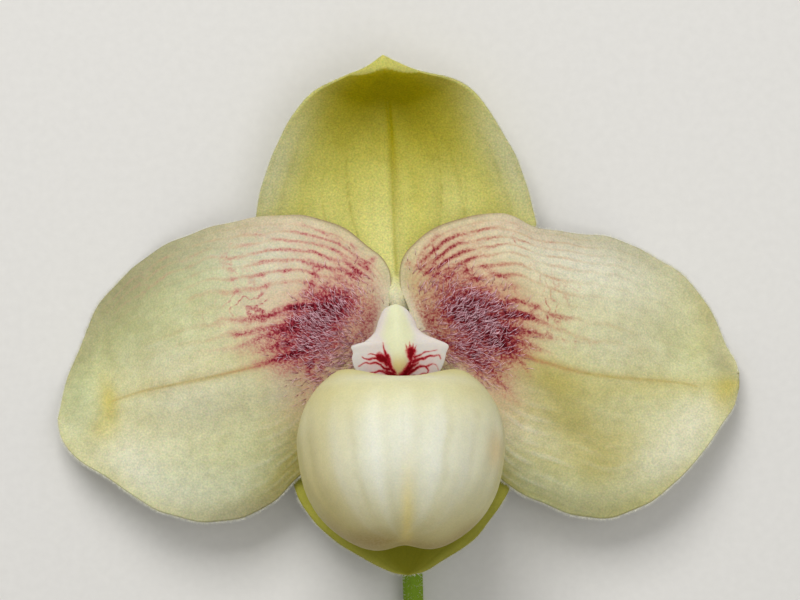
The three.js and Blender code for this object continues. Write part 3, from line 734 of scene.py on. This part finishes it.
def lip_fields(u, v, places):
    """What the lip's skin carries. x, y and z are mm to the right, up and forward of its centre."""
    x, y, z = (places - LIP_CENTRE).T
    turn = math.pi * (v + 1)
    degrees = np.degrees(np.where(turn > math.pi, turn - 2 * math.pi, turn))
    front = np.maximum(z, 0) / LIP_BULGE
    low = 0.8 * ease(y, -11.5, -15.5) * ease(x, 4, -4)
    rim = 0.75 * ease(y, -8, -13) * ease(z, 11, 3)
    return {
        "body": 1 - ease(u, 0.8, 1),
        "lane": LIP_RIBS * turn / (2 * math.pi) + 0.5,
        "veined": ease(u, 0.08, 0.2) * ease(u, 0.5, 0.36),
        "olive": spread(LIP_OLIVE_AND_SHADE, u, degrees / 100),
        "groove": np.exp(-(((x - 1) / 1.2) ** 2)) * ease(y, 5, -14) * (z > 0),
        # painted shade on the lower rim, with some of the lip's own brown tinge
        "flushed": np.maximum(low, rim) * ease(np.abs(x), 18, 10) * ease(z, -11, 4),
        # painted light on the front, strongest high up and less on the left, and on the rim and sides
        "pale": (0.9 * front**1.4 * ease(y, -23, 0) * (0.45 + 0.55 * ease(y, 13, 4))
                 * (1 - 0.45 * ease(x, -5, -13)) + spread(LIP_PAINTED_LIGHT, u, degrees / 100)),
        "ridge": spread(LIP_STRIPES, u, degrees / 100),
        "warm": np.exp(-(((x - 16) / 1.4) ** 2) - ((y - 0.5) / 3.4) ** 2),
        "flush": 0.17 * ease(y, -3, -13) * ease(z, -4, 2),
    }


def plain_fields(u, v, places):
    return {"body": fullness(u, v)}


# ---- hairs -------------------------------------------------------------------------------------

def one_hair(joints):
    """A three-sided hair with some joints, 1 wide at its foot and 1 long: corners and faces."""
    bpy.ops.object.select_all(action="DESELECT")
    bpy.ops.mesh.primitive_cone_add(vertices=3, radius1=0.5, radius2=0, depth=1, location=(0, 0, 0.5))
    hair = named("one_hair")
    bpy.ops.object.transform_apply(location=True)
    for k in range(joints):
        joint = {"plane_co": (0, 0, (k + 1) / (joints + 1)), "plane_no": (0, 0, 1)}
        in_edit_mode(hair, (bpy.ops.mesh.bisect, joint))
    places = corners(hair)
    places[:, :2] *= 1 + places[:, 2:] + places[:, 2:] ** 2  # it keeps its width almost to its tip
    shape = places, [tuple(face.vertices) for face in hair.data.polygons]
    bpy.data.objects.remove(hair)
    return shape


HAIR, BRISTLE = one_hair(2), one_hair(0)


def scatter(form, count, density):
    """Random places on a form, as many per mm2 as density(u, v) says in shares of its most."""
    found_u, found_v = np.empty(0), np.empty(0)
    while found_u.size < count:
        u, v = chance.random(4 * count), chance.uniform(-1, 1, 4 * count)
        near = 0.01
        a = form(np.minimum(u + near, 1), v) - form(np.maximum(u - near, 0), v)
        b = form(u, np.minimum(v + near, 1)) - form(u, np.maximum(v - near, -1))
        area = np.linalg.norm(np.cross(a, b), axis=1)
        kept = chance.random(u.size) < area / area.max() * density(u, v)
        found_u, found_v = np.append(found_u, u[kept]), np.append(found_v, v[kept])
    return found_u[:count], found_v[:count]


def plant(name, shape, roots, directions, lengths, width, droop, material, up=None):
    """Copies of one hair, each with its root, direction and length, bent towards droop. One flat
    side of each looks up, if that is given, or any way."""
    hair_corners, hair_faces = shape
    up = unit(chance.normal(size=directions.shape)) if up is None else up
    side = unit(np.cross(directions, up))
    other = np.cross(directions, side)
    x, y, z = (hair_corners[:, k][None, :, None] for k in range(3))
    stretch = lengths[:, None, None]
    wide = width * (0.8 + 0.4 * chance.random(len(roots)))[:, None, None]
    places = (roots[:, None] + stretch * z * directions[:, None] + wide * x * side[:, None]
              + wide * y * other[:, None] + stretch * z**2 * droop[:, None])
    count, size = len(roots), len(hair_corners)
    faces = [tuple(k + hair * size for k in face) for hair in range(count) for face in hair_faces]
    places = places.reshape(-1, 3) + CENTRE
    places[:, 2] = np.maximum(places[:, 2], LOWEST_HAIR)
    mesh = bpy.data.meshes.new(name)
    mesh.from_pydata((places * MM).tolist(), [], faces)
    piece = bpy.data.objects.new(name, mesh)
    bpy.context.collection.objects.link(piece)
    record_on(piece, tone=np.repeat(chance.random(count), size), tip=np.tile(hair_corners[:, 2], count))
    mesh.materials.append(material)
    keep(piece)
    return piece


# ---- finishes ----------------------------------------------------------------------------------

def linear(code):
    """An sRGB hex colour as linear red, green, blue and alpha."""
    shares = [int(code[k:k + 2], 16) / 255 for k in (1, 3, 5)]
    return (*(s / 12.92 if s <= 0.04045 else ((s + 0.055) / 1.055) ** 2.4 for s in shares), 1)


def every(size):
    """The scale of a pattern whose marks are this many mm apart."""
    return 1 / (size * MM)


def feed(node, feeds):
    """Gives the sockets of a node, in order or by name, a value or what another node makes."""
    for key, value in feeds.items() if isinstance(feeds, dict) else enumerate(feeds):
        named_sockets = [s for s in node.inputs if s.name == key and s.enabled]
        socket = named_sockets[0] if named_sockets else node.inputs[key]
        if isinstance(value, bpy.types.Node):
            value = next(s for s in value.outputs if s.enabled)
        if isinstance(value, bpy.types.NodeSocket):
            node.id_data.links.new(value, socket)
        else:
            socket.default_value = value


def add_node(tree, kind, feeds=(), **settings):
    """Adds a shader node of a kind, with its options and feeds. MapRange takes a value, the range
    it comes from and the range it goes to."""
    made = tree.nodes.new("ShaderNode" + kind)
    for option, value in settings.items():
        setattr(made, option, value)
    feed(made, feeds)
    return made


def new_finish(name, **sockets):
    """A material, its surface shader with these socket values, and what adds a node to it."""
    material = bpy.data.materials.new(name)
    material.use_nodes = True
    surface = material.node_tree.nodes["Principled BSDF"]
    feed(surface, sockets)
    return material, surface, partial(add_node, material.node_tree)


SOFT_STEP = {"interpolation_type": "SMOOTHSTEP"}
TIMES = {"operation": "MULTIPLY"}
COLOURS = {"data_type": "RGBA"}


def epidermis(name, ground, tints, vein="#9A9A50", vein_share=0.25, wander=0.12, pigment=None,
              blotch=0.3, grain=0.12, patchiness=0.25, bump=0.03, **sockets):
    """Living flower skin: cells and short hairs give a soft, grainy matt, light goes a little way
    in, veins show through, and crimson sap lies in some of the cells. wander is how far veins
    stray from their lanes, blotch how unevenly the sap lies, grain how far the cells differ,
    patchiness how much of that is in whole patches of them, and bump their relief in mm."""
    sockets = {"Roughness": 0.6, "IOR": 1.38, "Specular IOR Level": 0.08, "Subsurface Weight": 0.15,
               "Subsurface Scale": 0.4 * MM, "Subsurface Radius": (1, 0.8, 0.35), **sockets}
    material, surface, add = new_finish(name, **sockets)
    place = add("TexCoord").outputs["Object"]
    layers = ["lane", "veined", *(layer for layer, _, _ in tints)]
    if pigment:
        layers += ["flush", "reach", "streak", "step"]
    at = {layer: add("Attribute", attribute_name=layer).outputs["Fac"] for layer in layers}

    # The ground drifts towards its first tint in places, and each tint then covers its own areas.
    mottle = add("TexNoise", {"Vector": place, "Scale": every(6), "Detail": 3.0})
    share = add("MapRange", (mottle, 0.35, 0.7, 0, 0.25), **SOFT_STEP)
    drift = linear(tints[0][1])
    colour = add("Mix", {"Factor": share, "A": linear(ground), "B": drift}, **COLOURS)
    for layer, tint, most in tints:
        share = add("Math", (at[layer], most), **TIMES)
        colour = add("Mix", {"Factor": share, "A": colour, "B": linear(tint)}, **COLOURS)

    # Veins: each lies on a whole number of lanes, strays a little, and is as strong as chance says.
    stray = add("TexNoise", {"Vector": place, "Scale": every(9), "Detail": 3.0})
    sway = add("MapRange", (stray, 0.25, 0.75, -wander, wander), **SOFT_STEP)
    swayed = add("Math", (at["lane"], sway))
    off_vein = add("Math", (swayed, 0.5), operation="PINGPONG")
    number = add("Math", (swayed,), operation="ROUND")
    luck = add("TexWhiteNoise", {"W": number}, noise_dimensions="1D")
    lucky = add("MapRange", (luck, 0, 0.8, 0.3), **SOFT_STEP)
    patchy = add("MapRange", (mottle, 0.35, 0.65, 0.45), **SOFT_STEP)
    strong = add("Math", (lucky, patchy), **TIMES)
    thin = add("MapRange", (off_vein, 0.24, 0.02), **SOFT_STEP)
    line = add("Math", (thin, strong), **TIMES)
    line_there = add("Math", (line, at["veined"]), **TIMES)
    share = add("Math", (line_there, vein_share), **TIMES)
    colour = add("Mix", {"Factor": share, "A": colour, "B": linear(vein)}, **COLOURS)

    # The grain: single cells, far coarser than real ones so that they show, and patches of them.
    cells = add("TexNoise", {"Vector": place, "Scale": every(0.34), "Detail": 2, "Roughness": 0.6})
    patches = add("TexNoise", {"Vector": place, "Scale": every(1.8), "Detail": 1.0})
    hues = add("Mix", {"Factor": 0.35, "A": cells, "B": cells.outputs["Color"]}, **COLOURS)
    uneven = add("Mix", {"Factor": patchiness, "A": hues, "B": patches}, **COLOURS)
    fine = add("MapRange", {
        "Vector": uneven, "From Min": (0.3,) * 3, "From Max": (0.7,) * 3,
        "To Min": (1 - grain,) * 3, "To Max": (1 + 0.7 * grain,) * 3}, data_type="FLOAT_VECTOR")
    colour = add("Mix", {"Factor": 1.0, "A": colour, "B": fine}, blend_type="MULTIPLY", **COLOURS)

    if pigment:
        # Cross-veins join the veins into a net. They lie at other places between each two veins.
        between = add("Math", (swayed,), operation="FLOOR")
        shift = add("TexWhiteNoise", {"W": between}, noise_dimensions="1D")
        swerve = add("MapRange", (mottle, 0.3, 0.7, -0.8, 0.8), **SOFT_STEP)
        shifted = add("Math", (at["step"], shift))
        swerved = add("Math", (shifted, swerve))
        off_cross = add("Math", (swerved, 0.5), operation="PINGPONG")
        cross_line = add("MapRange", (off_cross, 0.2, 0.02, 0, 0.8), **SOFT_STEP)
        some = add("MapRange", (stray, 0.45, 0.6), **SOFT_STEP)
        cross = add("Math", (cross_line, some), **TIMES)
        wide = add("MapRange", (off_vein, 0.4, 0.0), **SOFT_STEP)
        soft_line = add("Math", (wide, strong), **TIMES)
        net = add("Math", (soft_line, cross), operation="MAXIMUM")
        net_there = add("Math", (net, at["reach"]), **TIMES)
        pink_veins = add("Math", (net_there, 0.36), **TIMES)

        # The sap of flush, streaks and pink veins adds up, and more of it is in some cells.
        marked = add("Math", (at["flush"], at["streak"]))
        sap = add("Math", (marked, pink_veins))
        speckle = add("TexNoise", {"Vector": place, "Scale": every(0.42), "Detail": 2,
                                   "Roughness": 0.7})
        filled = add("MapRange", (speckle, 0.3, 0.7, 1 - blotch, 1 + 0.8 * blotch), **SOFT_STEP)
        amount = add("Math", (sap, filled), **TIMES)
        tone = add("ValToRGB", {"Fac": amount})
        steps = tone.color_ramp.elements
        while len(steps) < len(pigment):
            steps.new(0.5)
        for k, (position, code) in enumerate(pigment):
            steps[k].position = position
            steps[k].color = linear(code)
        share = add("MapRange", (amount, 0.03, 0.75), **SOFT_STEP)
        colour = add("Mix", {"Factor": share, "A": colour, "B": tone}, **COLOURS)

    dent = add("Math", (line_there, -0.4), **TIMES)
    height = add("Math", (cells, dent))
    relief = add("Bump", {"Height": height, "Strength": 0.6, "Distance": bump * MM})
    feed(surface, {"Base Color": colour, "Normal": relief})
    return material


def hair_finish(name, root, tip):
    """A plant hair: a clear, hollow cell that catches the light, with crimson at its foot that is
    partly sap and partly painted crimson light thrown up from the flush below. The sap rises
    higher in some hairs than in others."""
    material, surface, add = new_finish(
        name, **{"Roughness": 0.4, "IOR": 1.4, "Specular IOR Level": 0.08})
    tone = add("Attribute", attribute_name="tone").outputs["Fac"]
    height = add("Attribute", attribute_name="tip").outputs["Fac"]
    clear = add("MapRange", (height, 0.05, 0.6))
    empty = add("MapRange", (tone, 0, 1, 0.25, 1.1))
    share = add("Math", (clear, empty), use_clamp=True, **TIMES)
    colour = add("Mix", {"Factor": share, "A": linear(root), "B": linear(tip)}, **COLOURS)
    feed(surface, {"Base Color": colour})
    return material


def two_toned(name, one, other, size, **sockets):
    """A plain finish with two near colours in soft marks of a size in mm."""
    material, surface, add = new_finish(name, **sockets)
    place = add("TexCoord").outputs["Object"]
    marks = add("TexNoise", {"Vector": place, "Scale": every(size)})
    colour = add("Mix", {"Factor": marks, "A": linear(one), "B": linear(other)}, **COLOURS)
    feed(surface, {"Base Color": colour})
    return material


# ---- the flower --------------------------------------------------------------------------------

def keep(piece, node=None):
    """Declares a piece: it rides with the flower, and stands for a node if one is given."""
    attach(piece, BODY)
    if node:
        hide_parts(node)


def dress(piece, *finishes):
    for finish in finishes:
        piece.data.materials.append(finish)


def organ(name, form, cells, fields, sheet, finishes, node, closed=False):
    """Makes an organ of a sheet of tissue, with its finishes on front, back and rim."""
    piece = tissue(name, form, cells, fields, closed)
    thicken(piece, sheet)
    dress(piece, *finishes)
    keep(piece, node)


# Petals: soft, matt skin that the light goes into, flushed and veined with crimson.
def petal_finishes(side, pigment):
    # olive and the grey-brown margin tint are largely painted shade, pale is partly painted light
    tints = [("olive", "#A89C4C", 1.0), ("pale", "#DFDCC4", 0.9), ("base", "#E6DEC4", 1.0),
             ("blush", "#CB9080", 0.6), ("midrib", "#A88A40", 0.95), ("inner_edge", "#7E5C36", 0.7),
             ("green", "#A0B886", 0.5), ("gold", "#CABC60", 0.75), ("ashen", "#8E8870", 1.0)]
    return [
        epidermis(f"petal_skin_{side}", "#D3D1A2", tints, vein="#BBA574", vein_share=0.35,
                  wander=0.3, pigment=pigment, grain=0.25),
        epidermis(f"petal_back_skin_{side}", "#D2D3A2",
                  [("olive", "#AEAA5C", 0.6), ("base", "#C9CF8C", 1.0)],
                  vein="#A8AE62", vein_share=0.45, wander=0.3),
        # the brown line on the margin is a painted shadow along the inner upper margin
        epidermis(f"petal_margin_{side}", "#B9B07A",
                  [("olive", "#8F8240", 0.8), ("inner_edge", "#7E5C36", 0.9)]),
    ]


def petal(side, outline, areas, streaks, midrib, pigment):
    form = blade_form(outline, PETAL_RELIEF, areas["swells"], PETAL_RUFFLE, areas["creases"])
    form = lie_on_table(form, PETAL_SHEET)
    organ(f"petal_{side}_blade", form, PETAL_CELLS, petal_fields(form, areas, streaks, midrib),
          PETAL_SHEET, petal_finishes(side, pigment), f"petal_{side}")
    return form


right_form = petal("right", PETAL_RIGHT, RIGHT_PETAL_AREAS, RIGHT_STREAKS, RIGHT_MIDRIB,
                   [(0.15, "#CFA088"), (0.4, "#B4665C"), (0.7, "#8E2E36"), (1, "#48040E")])
left_form = petal("left", PETAL_LEFT, LEFT_PETAL_AREAS, LEFT_STREAKS, LEFT_MIDRIB,
                  [(0.15, "#D4A294"), (0.4, "#BE6C70"), (0.7, "#98303E"), (1, "#520614")])

# Sepals: the same skin without crimson, and with even less shine.
# olive is painted shade and the pale grey side tint is painted sheen
dorsal_tints = [("olive", "#9E920A", 0.97), ("pale", "#DCDA92", 1.0), ("grey", "#C8C69A", 1.0),
                ("base", "#DAD6B4", 1.0), ("midrib", "#A39C34", 0.6), ("side_vein", "#8F8A2C", 0.5)]
dorsal_finishes = [
    epidermis("dorsal_skin", "#C8C464", dorsal_tints, vein="#8F8A2C", vein_share=0.22,
              grain=0.27, patchiness=0.1, **{"Specular IOR Level": 0.03}),
    epidermis("dorsal_back_skin", "#C6C472", [("olive", "#A5A048", 0.5)],
              vein="#96983C", vein_share=0.4),
    epidermis("dorsal_margin", "#A9A45C", [("olive", "#8A7A2A", 0.6)]),
]
dorsal_form = blade_form(DORSAL_SEPAL, DORSAL_RELIEF, DORSAL_SWELLS, SEPAL_RUFFLE)
organ("dorsal_sepal_blade", dorsal_form, DORSAL_CELLS, dorsal_fields, SEPAL_SHEET,
      dorsal_finishes, "dorsal_sepal")

# the synsepal's olive is partly painted shadow of the lip above it
synsepal_finishes = [
    epidermis("synsepal_skin", "#9A9838", [("olive", "#86831E", 1.0), ("pale", "#B4B050", 1.0)],
              vein="#76761C", vein_share=0.3),
    epidermis("synsepal_back_skin", "#A9AE55", [("olive", "#8F9640", 0.8)],
              vein="#7F8A34", vein_share=0.5),
    epidermis("synsepal_margin", "#B5B468", [("olive", "#A0A050", 0.6)]),
]
synsepal_form = blade_form(SYNSEPAL, SYNSEPAL_RELIEF, ruffle=SEPAL_RUFFLE)
organ("synsepal_blade", synsepal_form, SYNSEPAL_CELLS, synsepal_fields, SEPAL_SHEET,
      synsepal_finishes, "synsepal")

# The lip's skin is smoother and waxier than a petal's, so it has a broad, soft shine.
# olive is partly painted shade, pale is painted light, the brown low-rim tint is painted shade
lip_tints = [("olive", "#BFB068", 0.9), ("pale", "#E2E3D0", 0.95), ("warm", "#E6BC74", 0.42),
             ("groove", "#EAD680", 0.75), ("flushed", "#866620", 0.78), ("ridge", "#F0F0E4", 0.35)]
lip_finishes = [
    epidermis("lip_skin", "#D4CE92", lip_tints, vein="#B5AD74", vein_share=0.22,
              grain=0.09, bump=0.012, blotch=0.9, Roughness=0.45,
              pigment=[(0.1, "#D6C79C"), (0.4, "#BFA87A"), (0.7, "#A68C5C"), (1, "#8A6E40")]),
    epidermis("lip_lining", "#D9D6A2", [("olive", "#BDBA70", 0.8)], vein="#B08A70", vein_share=0.3),
    epidermis("lip_rim", "#D5D29C", [("olive", "#C6C488", 0.6)]),
]
organ("lip_pouch", lip_form, LIP_CELLS, lip_fields, LIP_SHEET, lip_finishes, "lip", closed=True)

# The staminode is the smoothest of all: fine cells, a waxy shine, and sap with sharp edges.
staminode_finishes = [
    epidermis("staminode_skin", "#DAD5CC",
              [("blush", "#DEC0BC", 0.6), ("keel", "#DEDFB8", 1.0), ("gold", "#D8BE70", 0.8)],
              blotch=0.2, grain=0.06, bump=0.012, Roughness=0.4,
              pigment=[(0.15, "#E4B0A4"), (0.4, "#CC5A58"), (0.7, "#AA1C2C"), (1, "#7C0810")]),
    epidermis("staminode_back_skin", "#E2E0CC", [("keel", "#D8DAB0", 1.0)]),
    epidermis("staminode_margin", "#E6E0D4", [("blush", "#D8C4BC", 0.5)]),
]
organ("staminode_shield", blade_form(STAMINODE, STAMINODE_RELIEF), STAMINODE_CELLS,
      staminode_fields, STAMINODE_SHEET, staminode_finishes, "staminode")

# The column and its stigma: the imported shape, its seams melted together as they have grown.
pick_only(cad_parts["column"])
bpy.ops.object.duplicate()
column = named("column_body")
in_edit_mode(column, (bpy.ops.mesh.remove_doubles, {"threshold": COLUMN_SEAM}))
apply_modifier(column, "REMESH", mode="VOXEL", voxel_size=COLUMN_DETAIL)
apply_modifier(column, "SMOOTH", factor=0.5, iterations=6)
shade_smooth(column)
column.data.materials.clear()
dress(column, epidermis("column_skin", "#E2E0B4", [("olive", "#C8CC80", 0.5)], grain=0.3))
keep(column, "column")

# Pollen in wax: a sticky, glossy mass of grains.
pollen_wax = two_toned("pollen_wax", "#C79A34", "#E2C468", 0.5, **{
    "Roughness": 0.3, "Subsurface Weight": 0.2, "Subsurface Scale": 0.5 * MM})
for side, sign in (("left", -1), ("right", 1)):
    bpy.ops.object.select_all(action="DESELECT")
    bpy.ops.mesh.primitive_uv_sphere_add(segments=32, ring_count=20, radius=1)
    anther = named(f"anther_{side}_pollen")
    ball = corners(anther)
    cleft = 1 - ANTHER_CLEFT * np.exp(-((ball[:, 0] / ANTHER_CLEFT) ** 2)) * (ball[:, 2] > -0.5)
    places = ball * cleft[:, None] * ANTHER_RADII + np.multiply(ANTHER_PLACE, (sign, 1, 1))
    move_corners(anther, (places + CENTRE) * MM)
    shade_smooth(anther)
    dress(anther, pollen_wax)
    keep(anther, f"anther_{side}")


def ovary_radius(u, angle):
    """The ovary tapers towards the stalk and is ribbed all round."""
    ribs = 1 + OVARY_RIB_SHARE * np.cos(OVARY_RIBS * angle)
    return smooth(np.linspace(0, 1, len(OVARY_RADII)), OVARY_RADII, u) * ribs


def peduncle_radius(u, angle):
    """The stalk is almost round, a little uneven along its length."""
    return PEDUNCLE_RADIUS * (1 + 0.015 * np.sin(9 * angle) + 0.02 * np.sin(40 * u))


def stalk(name, path, radius, cells, node, finish):
    """Makes a solid stalk with closed ends, which rides and stands for its node."""
    form = stalk_form(path, radius)
    piece = tissue(name, form, cells, plain_fields, closed=True)
    in_edit_mode(
        piece,
        (bpy.ops.mesh.fill_holes, {"sides": 0}),
        (bpy.ops.mesh.normals_make_consistent, {"inside": False}),
    )
    pick_only(piece)
    bpy.ops.object.shade_smooth_by_angle(angle=math.radians(40))
    dress(piece, finish)
    keep(piece, node)
    return form


# Ovary, stalk and bract: green skin under the same soft matt.
ovary_skin = epidermis("ovary_skin", "#93A53E", [("body", "#86963C", 0.3)], bump=0.05)
peduncle_skin = epidermis("peduncle_skin", "#8AA62E", [("body", "#789A2A", 0.4)], bump=0.05)
ovary_form = stalk("ovary_body", OVARY_PATH, ovary_radius, OVARY_CELLS, "ovary", ovary_skin)
peduncle_form = stalk("peduncle_stem", PEDUNCLE_PATH, peduncle_radius, PEDUNCLE_CELLS, "peduncle",
                      peduncle_skin)
bract_skin = epidermis("bract_skin", "#7F9B3C", [("body", "#6E8A34", 0.4)])
organ("bract_sheath", bract_form, BRACT_CELLS, plain_fields, BRACT_SHEET, [bract_skin], "bract")

# ---- hairs on the flower -----------------------------------------------------------------------

# the crimson roots are partly sap, partly painted light reflected from the crimson flush
LILAC_HAIR = hair_finish("petal_base_hair", "#7E1830", "#FFD6E2")
WHITE_HAIR = hair_finish("margin_hair", "#DEDCC0", "#F4F3EA")


def base_hairs(side, form, sign, areas, count):
    """The long lilac hairs that stand over the crimson flush and lean out and up the petal."""
    u, v = scatter(form, count, lambda u, v: np.clip(spread(areas, u, v), 0, 1))
    roots, normals = form(u, v), facing(form, u, v)
    slope = 0.3 + 1.1 * v + chance.normal(0, 0.32, count)  # the hairs fan out from the column
    lean = np.column_stack([sign * np.cos(slope), np.sin(slope), np.zeros(count)])
    directions = unit(normals * chance.uniform(0.2, 0.7, count)[:, None] + lean)
    lengths = chance.uniform(*BASE_HAIR_LENGTHS, count)
    roots = roots + normals * PETAL_SHEET[0] * 0.45
    curl = np.cross(normals, directions) * chance.normal(0, 0.35, count)[:, None]
    plant(f"petal_{side}_base_hairs", HAIR, roots, directions, lengths, BASE_HAIR_WIDTH,
          curl - 0.2 * normals, LILAC_HAIR, normals)


base_hairs("right", right_form, 1, [(18, 16, 8.5, 26, 100), (14, -25, 7, 20, 80),
                                    (12, 55, 5, 20, 20), (10, -40, 5, 30, 60)],
           count=1600)
base_hairs("left", left_form, -1, [(18, 13, 8, 24, 100), (15, -25, 8, 20, 60),
                                   (12, 50, 5, 20, 15), (10, -40, 5, 30, 50)],
           count=1500)


def short_hairs(name, roots, directions, lengths, width):
    """Short, straight white hairs."""
    count = len(roots)
    plant(name, BRISTLE, roots, directions, chance.uniform(*lengths, count), width,
          np.zeros((count, 3)), WHITE_HAIR)


def margin_hairs(name, form, count, bare=0.1):
    """A fringe that stands out along a blade's margins. Its second margin is bare up to a share of
    its length."""
    u = chance.uniform(0.1, 1, count) ** 0.85
    side = np.where((chance.random(count) < 0.5) | (u < bare), -1.0, 1.0)
    rim = form(u, side)
    outward = unit(rim - form(u, side * 0.96) + 1e-6 * side[:, None])
    normals = facing(form, u, side * 0.97)
    wild = chance.normal(0, 0.35, (count, 3))
    directions = unit(outward + wild + normals * chance.uniform(-0.3, 0.5, count)[:, None])
    short_hairs(name, rim, directions, FRINGE_LENGTHS, FRINGE_WIDTH)


margin_hairs("petal_right_fringe", right_form, count=3000, bare=0.42)
margin_hairs("petal_left_fringe", left_form, count=3000, bare=0.42)
margin_hairs("dorsal_sepal_fringe", dorsal_form, count=2600)
margin_hairs("synsepal_fringe", synsepal_form, count=1600)


def stalk_hairs(name, form, count):
    """A down that stands out all round a stalk."""
    u, v = chance.random(count), chance.uniform(-1, 1, count)
    roots = form(u, v)
    middle = (roots + form(u, np.where(v > 0, v - 1, v + 1))) / 2
    directions = unit(unit(roots - middle) + chance.normal(0, 0.3, (count, 3)))
    short_hairs(name, roots, directions, STALK_HAIR_LENGTHS, STALK_HAIR_WIDTH)


stalk_hairs("peduncle_hairs", peduncle_form, count=3500)
stalk_hairs("ovary_hairs", ovary_form, count=1800)

# ---- table, light and camera -------------------------------------------------------------------

# The table is matt, pale card: even in tone, with the fibres just showing.
TABLE_SIZE = 4  # m
bpy.ops.object.select_all(action="DESELECT")
bpy.ops.mesh.primitive_plane_add(size=TABLE_SIZE)
table = named("table")
dress(table, two_toned("pale_card", "#DAD8D3", "#E2E0DB", 1.5, Roughness=0.8))


def softbox(name, place, size, power):
    """A square softbox at a place in metres that faces the flower."""
    aim = 0.0, 0.03, 0.01  # the middle of the petals
    light = bpy.data.lights.new(name, "AREA")
    light.shape, light.size, light.energy = "SQUARE", size, power
    lamp = bpy.data.objects.new(name, light)
    lamp.location = place
    to_flower = [a - b for a, b in zip(aim, place)]
    yaw = math.atan2(to_flower[1], to_flower[0])
    pitch = math.atan2(math.hypot(to_flower[0], to_flower[1]), -to_flower[2])
    lamp.rotation_euler = (pitch, 0, yaw - math.pi / 2)
    bpy.context.collection.objects.link(lamp)


softbox("key_softbox", (-0.2, 0.7, 0.85), size=0.6, power=8)
softbox("fill_softbox", (0.3, -0.1, 1.1), size=0.8, power=3)

WORLD_STRENGTH = 0.33
world = bpy.data.worlds.new("studio")
world.use_nodes = True
background = world.node_tree.nodes["Background"].inputs
background["Color"].default_value = (1, 1, 1, 1)
background["Strength"].default_value = WORLD_STRENGTH
bpy.context.scene.world = world
bpy.context.scene.view_settings.view_transform = "Standard"

CAMERA_HEIGHT = 700  # mm above the flower's centre
VIEW_WIDTH = 144  # mm across the view at the flower's centre
VIEW_ABOVE_CENTRE = 3.6  # mm from the flower's centre up to the middle of the view
camera_data = bpy.data.cameras.new("camera")
camera_data.sensor_width = 36
camera_data.lens = camera_data.sensor_width * CAMERA_HEIGHT / VIEW_WIDTH
camera = bpy.data.objects.new("camera", camera_data)
camera.location = (CENTRE + (0, VIEW_ABOVE_CENTRE, CAMERA_HEIGHT)) * MM
bpy.context.collection.objects.link(camera)
bpy.context.scene.camera = camera
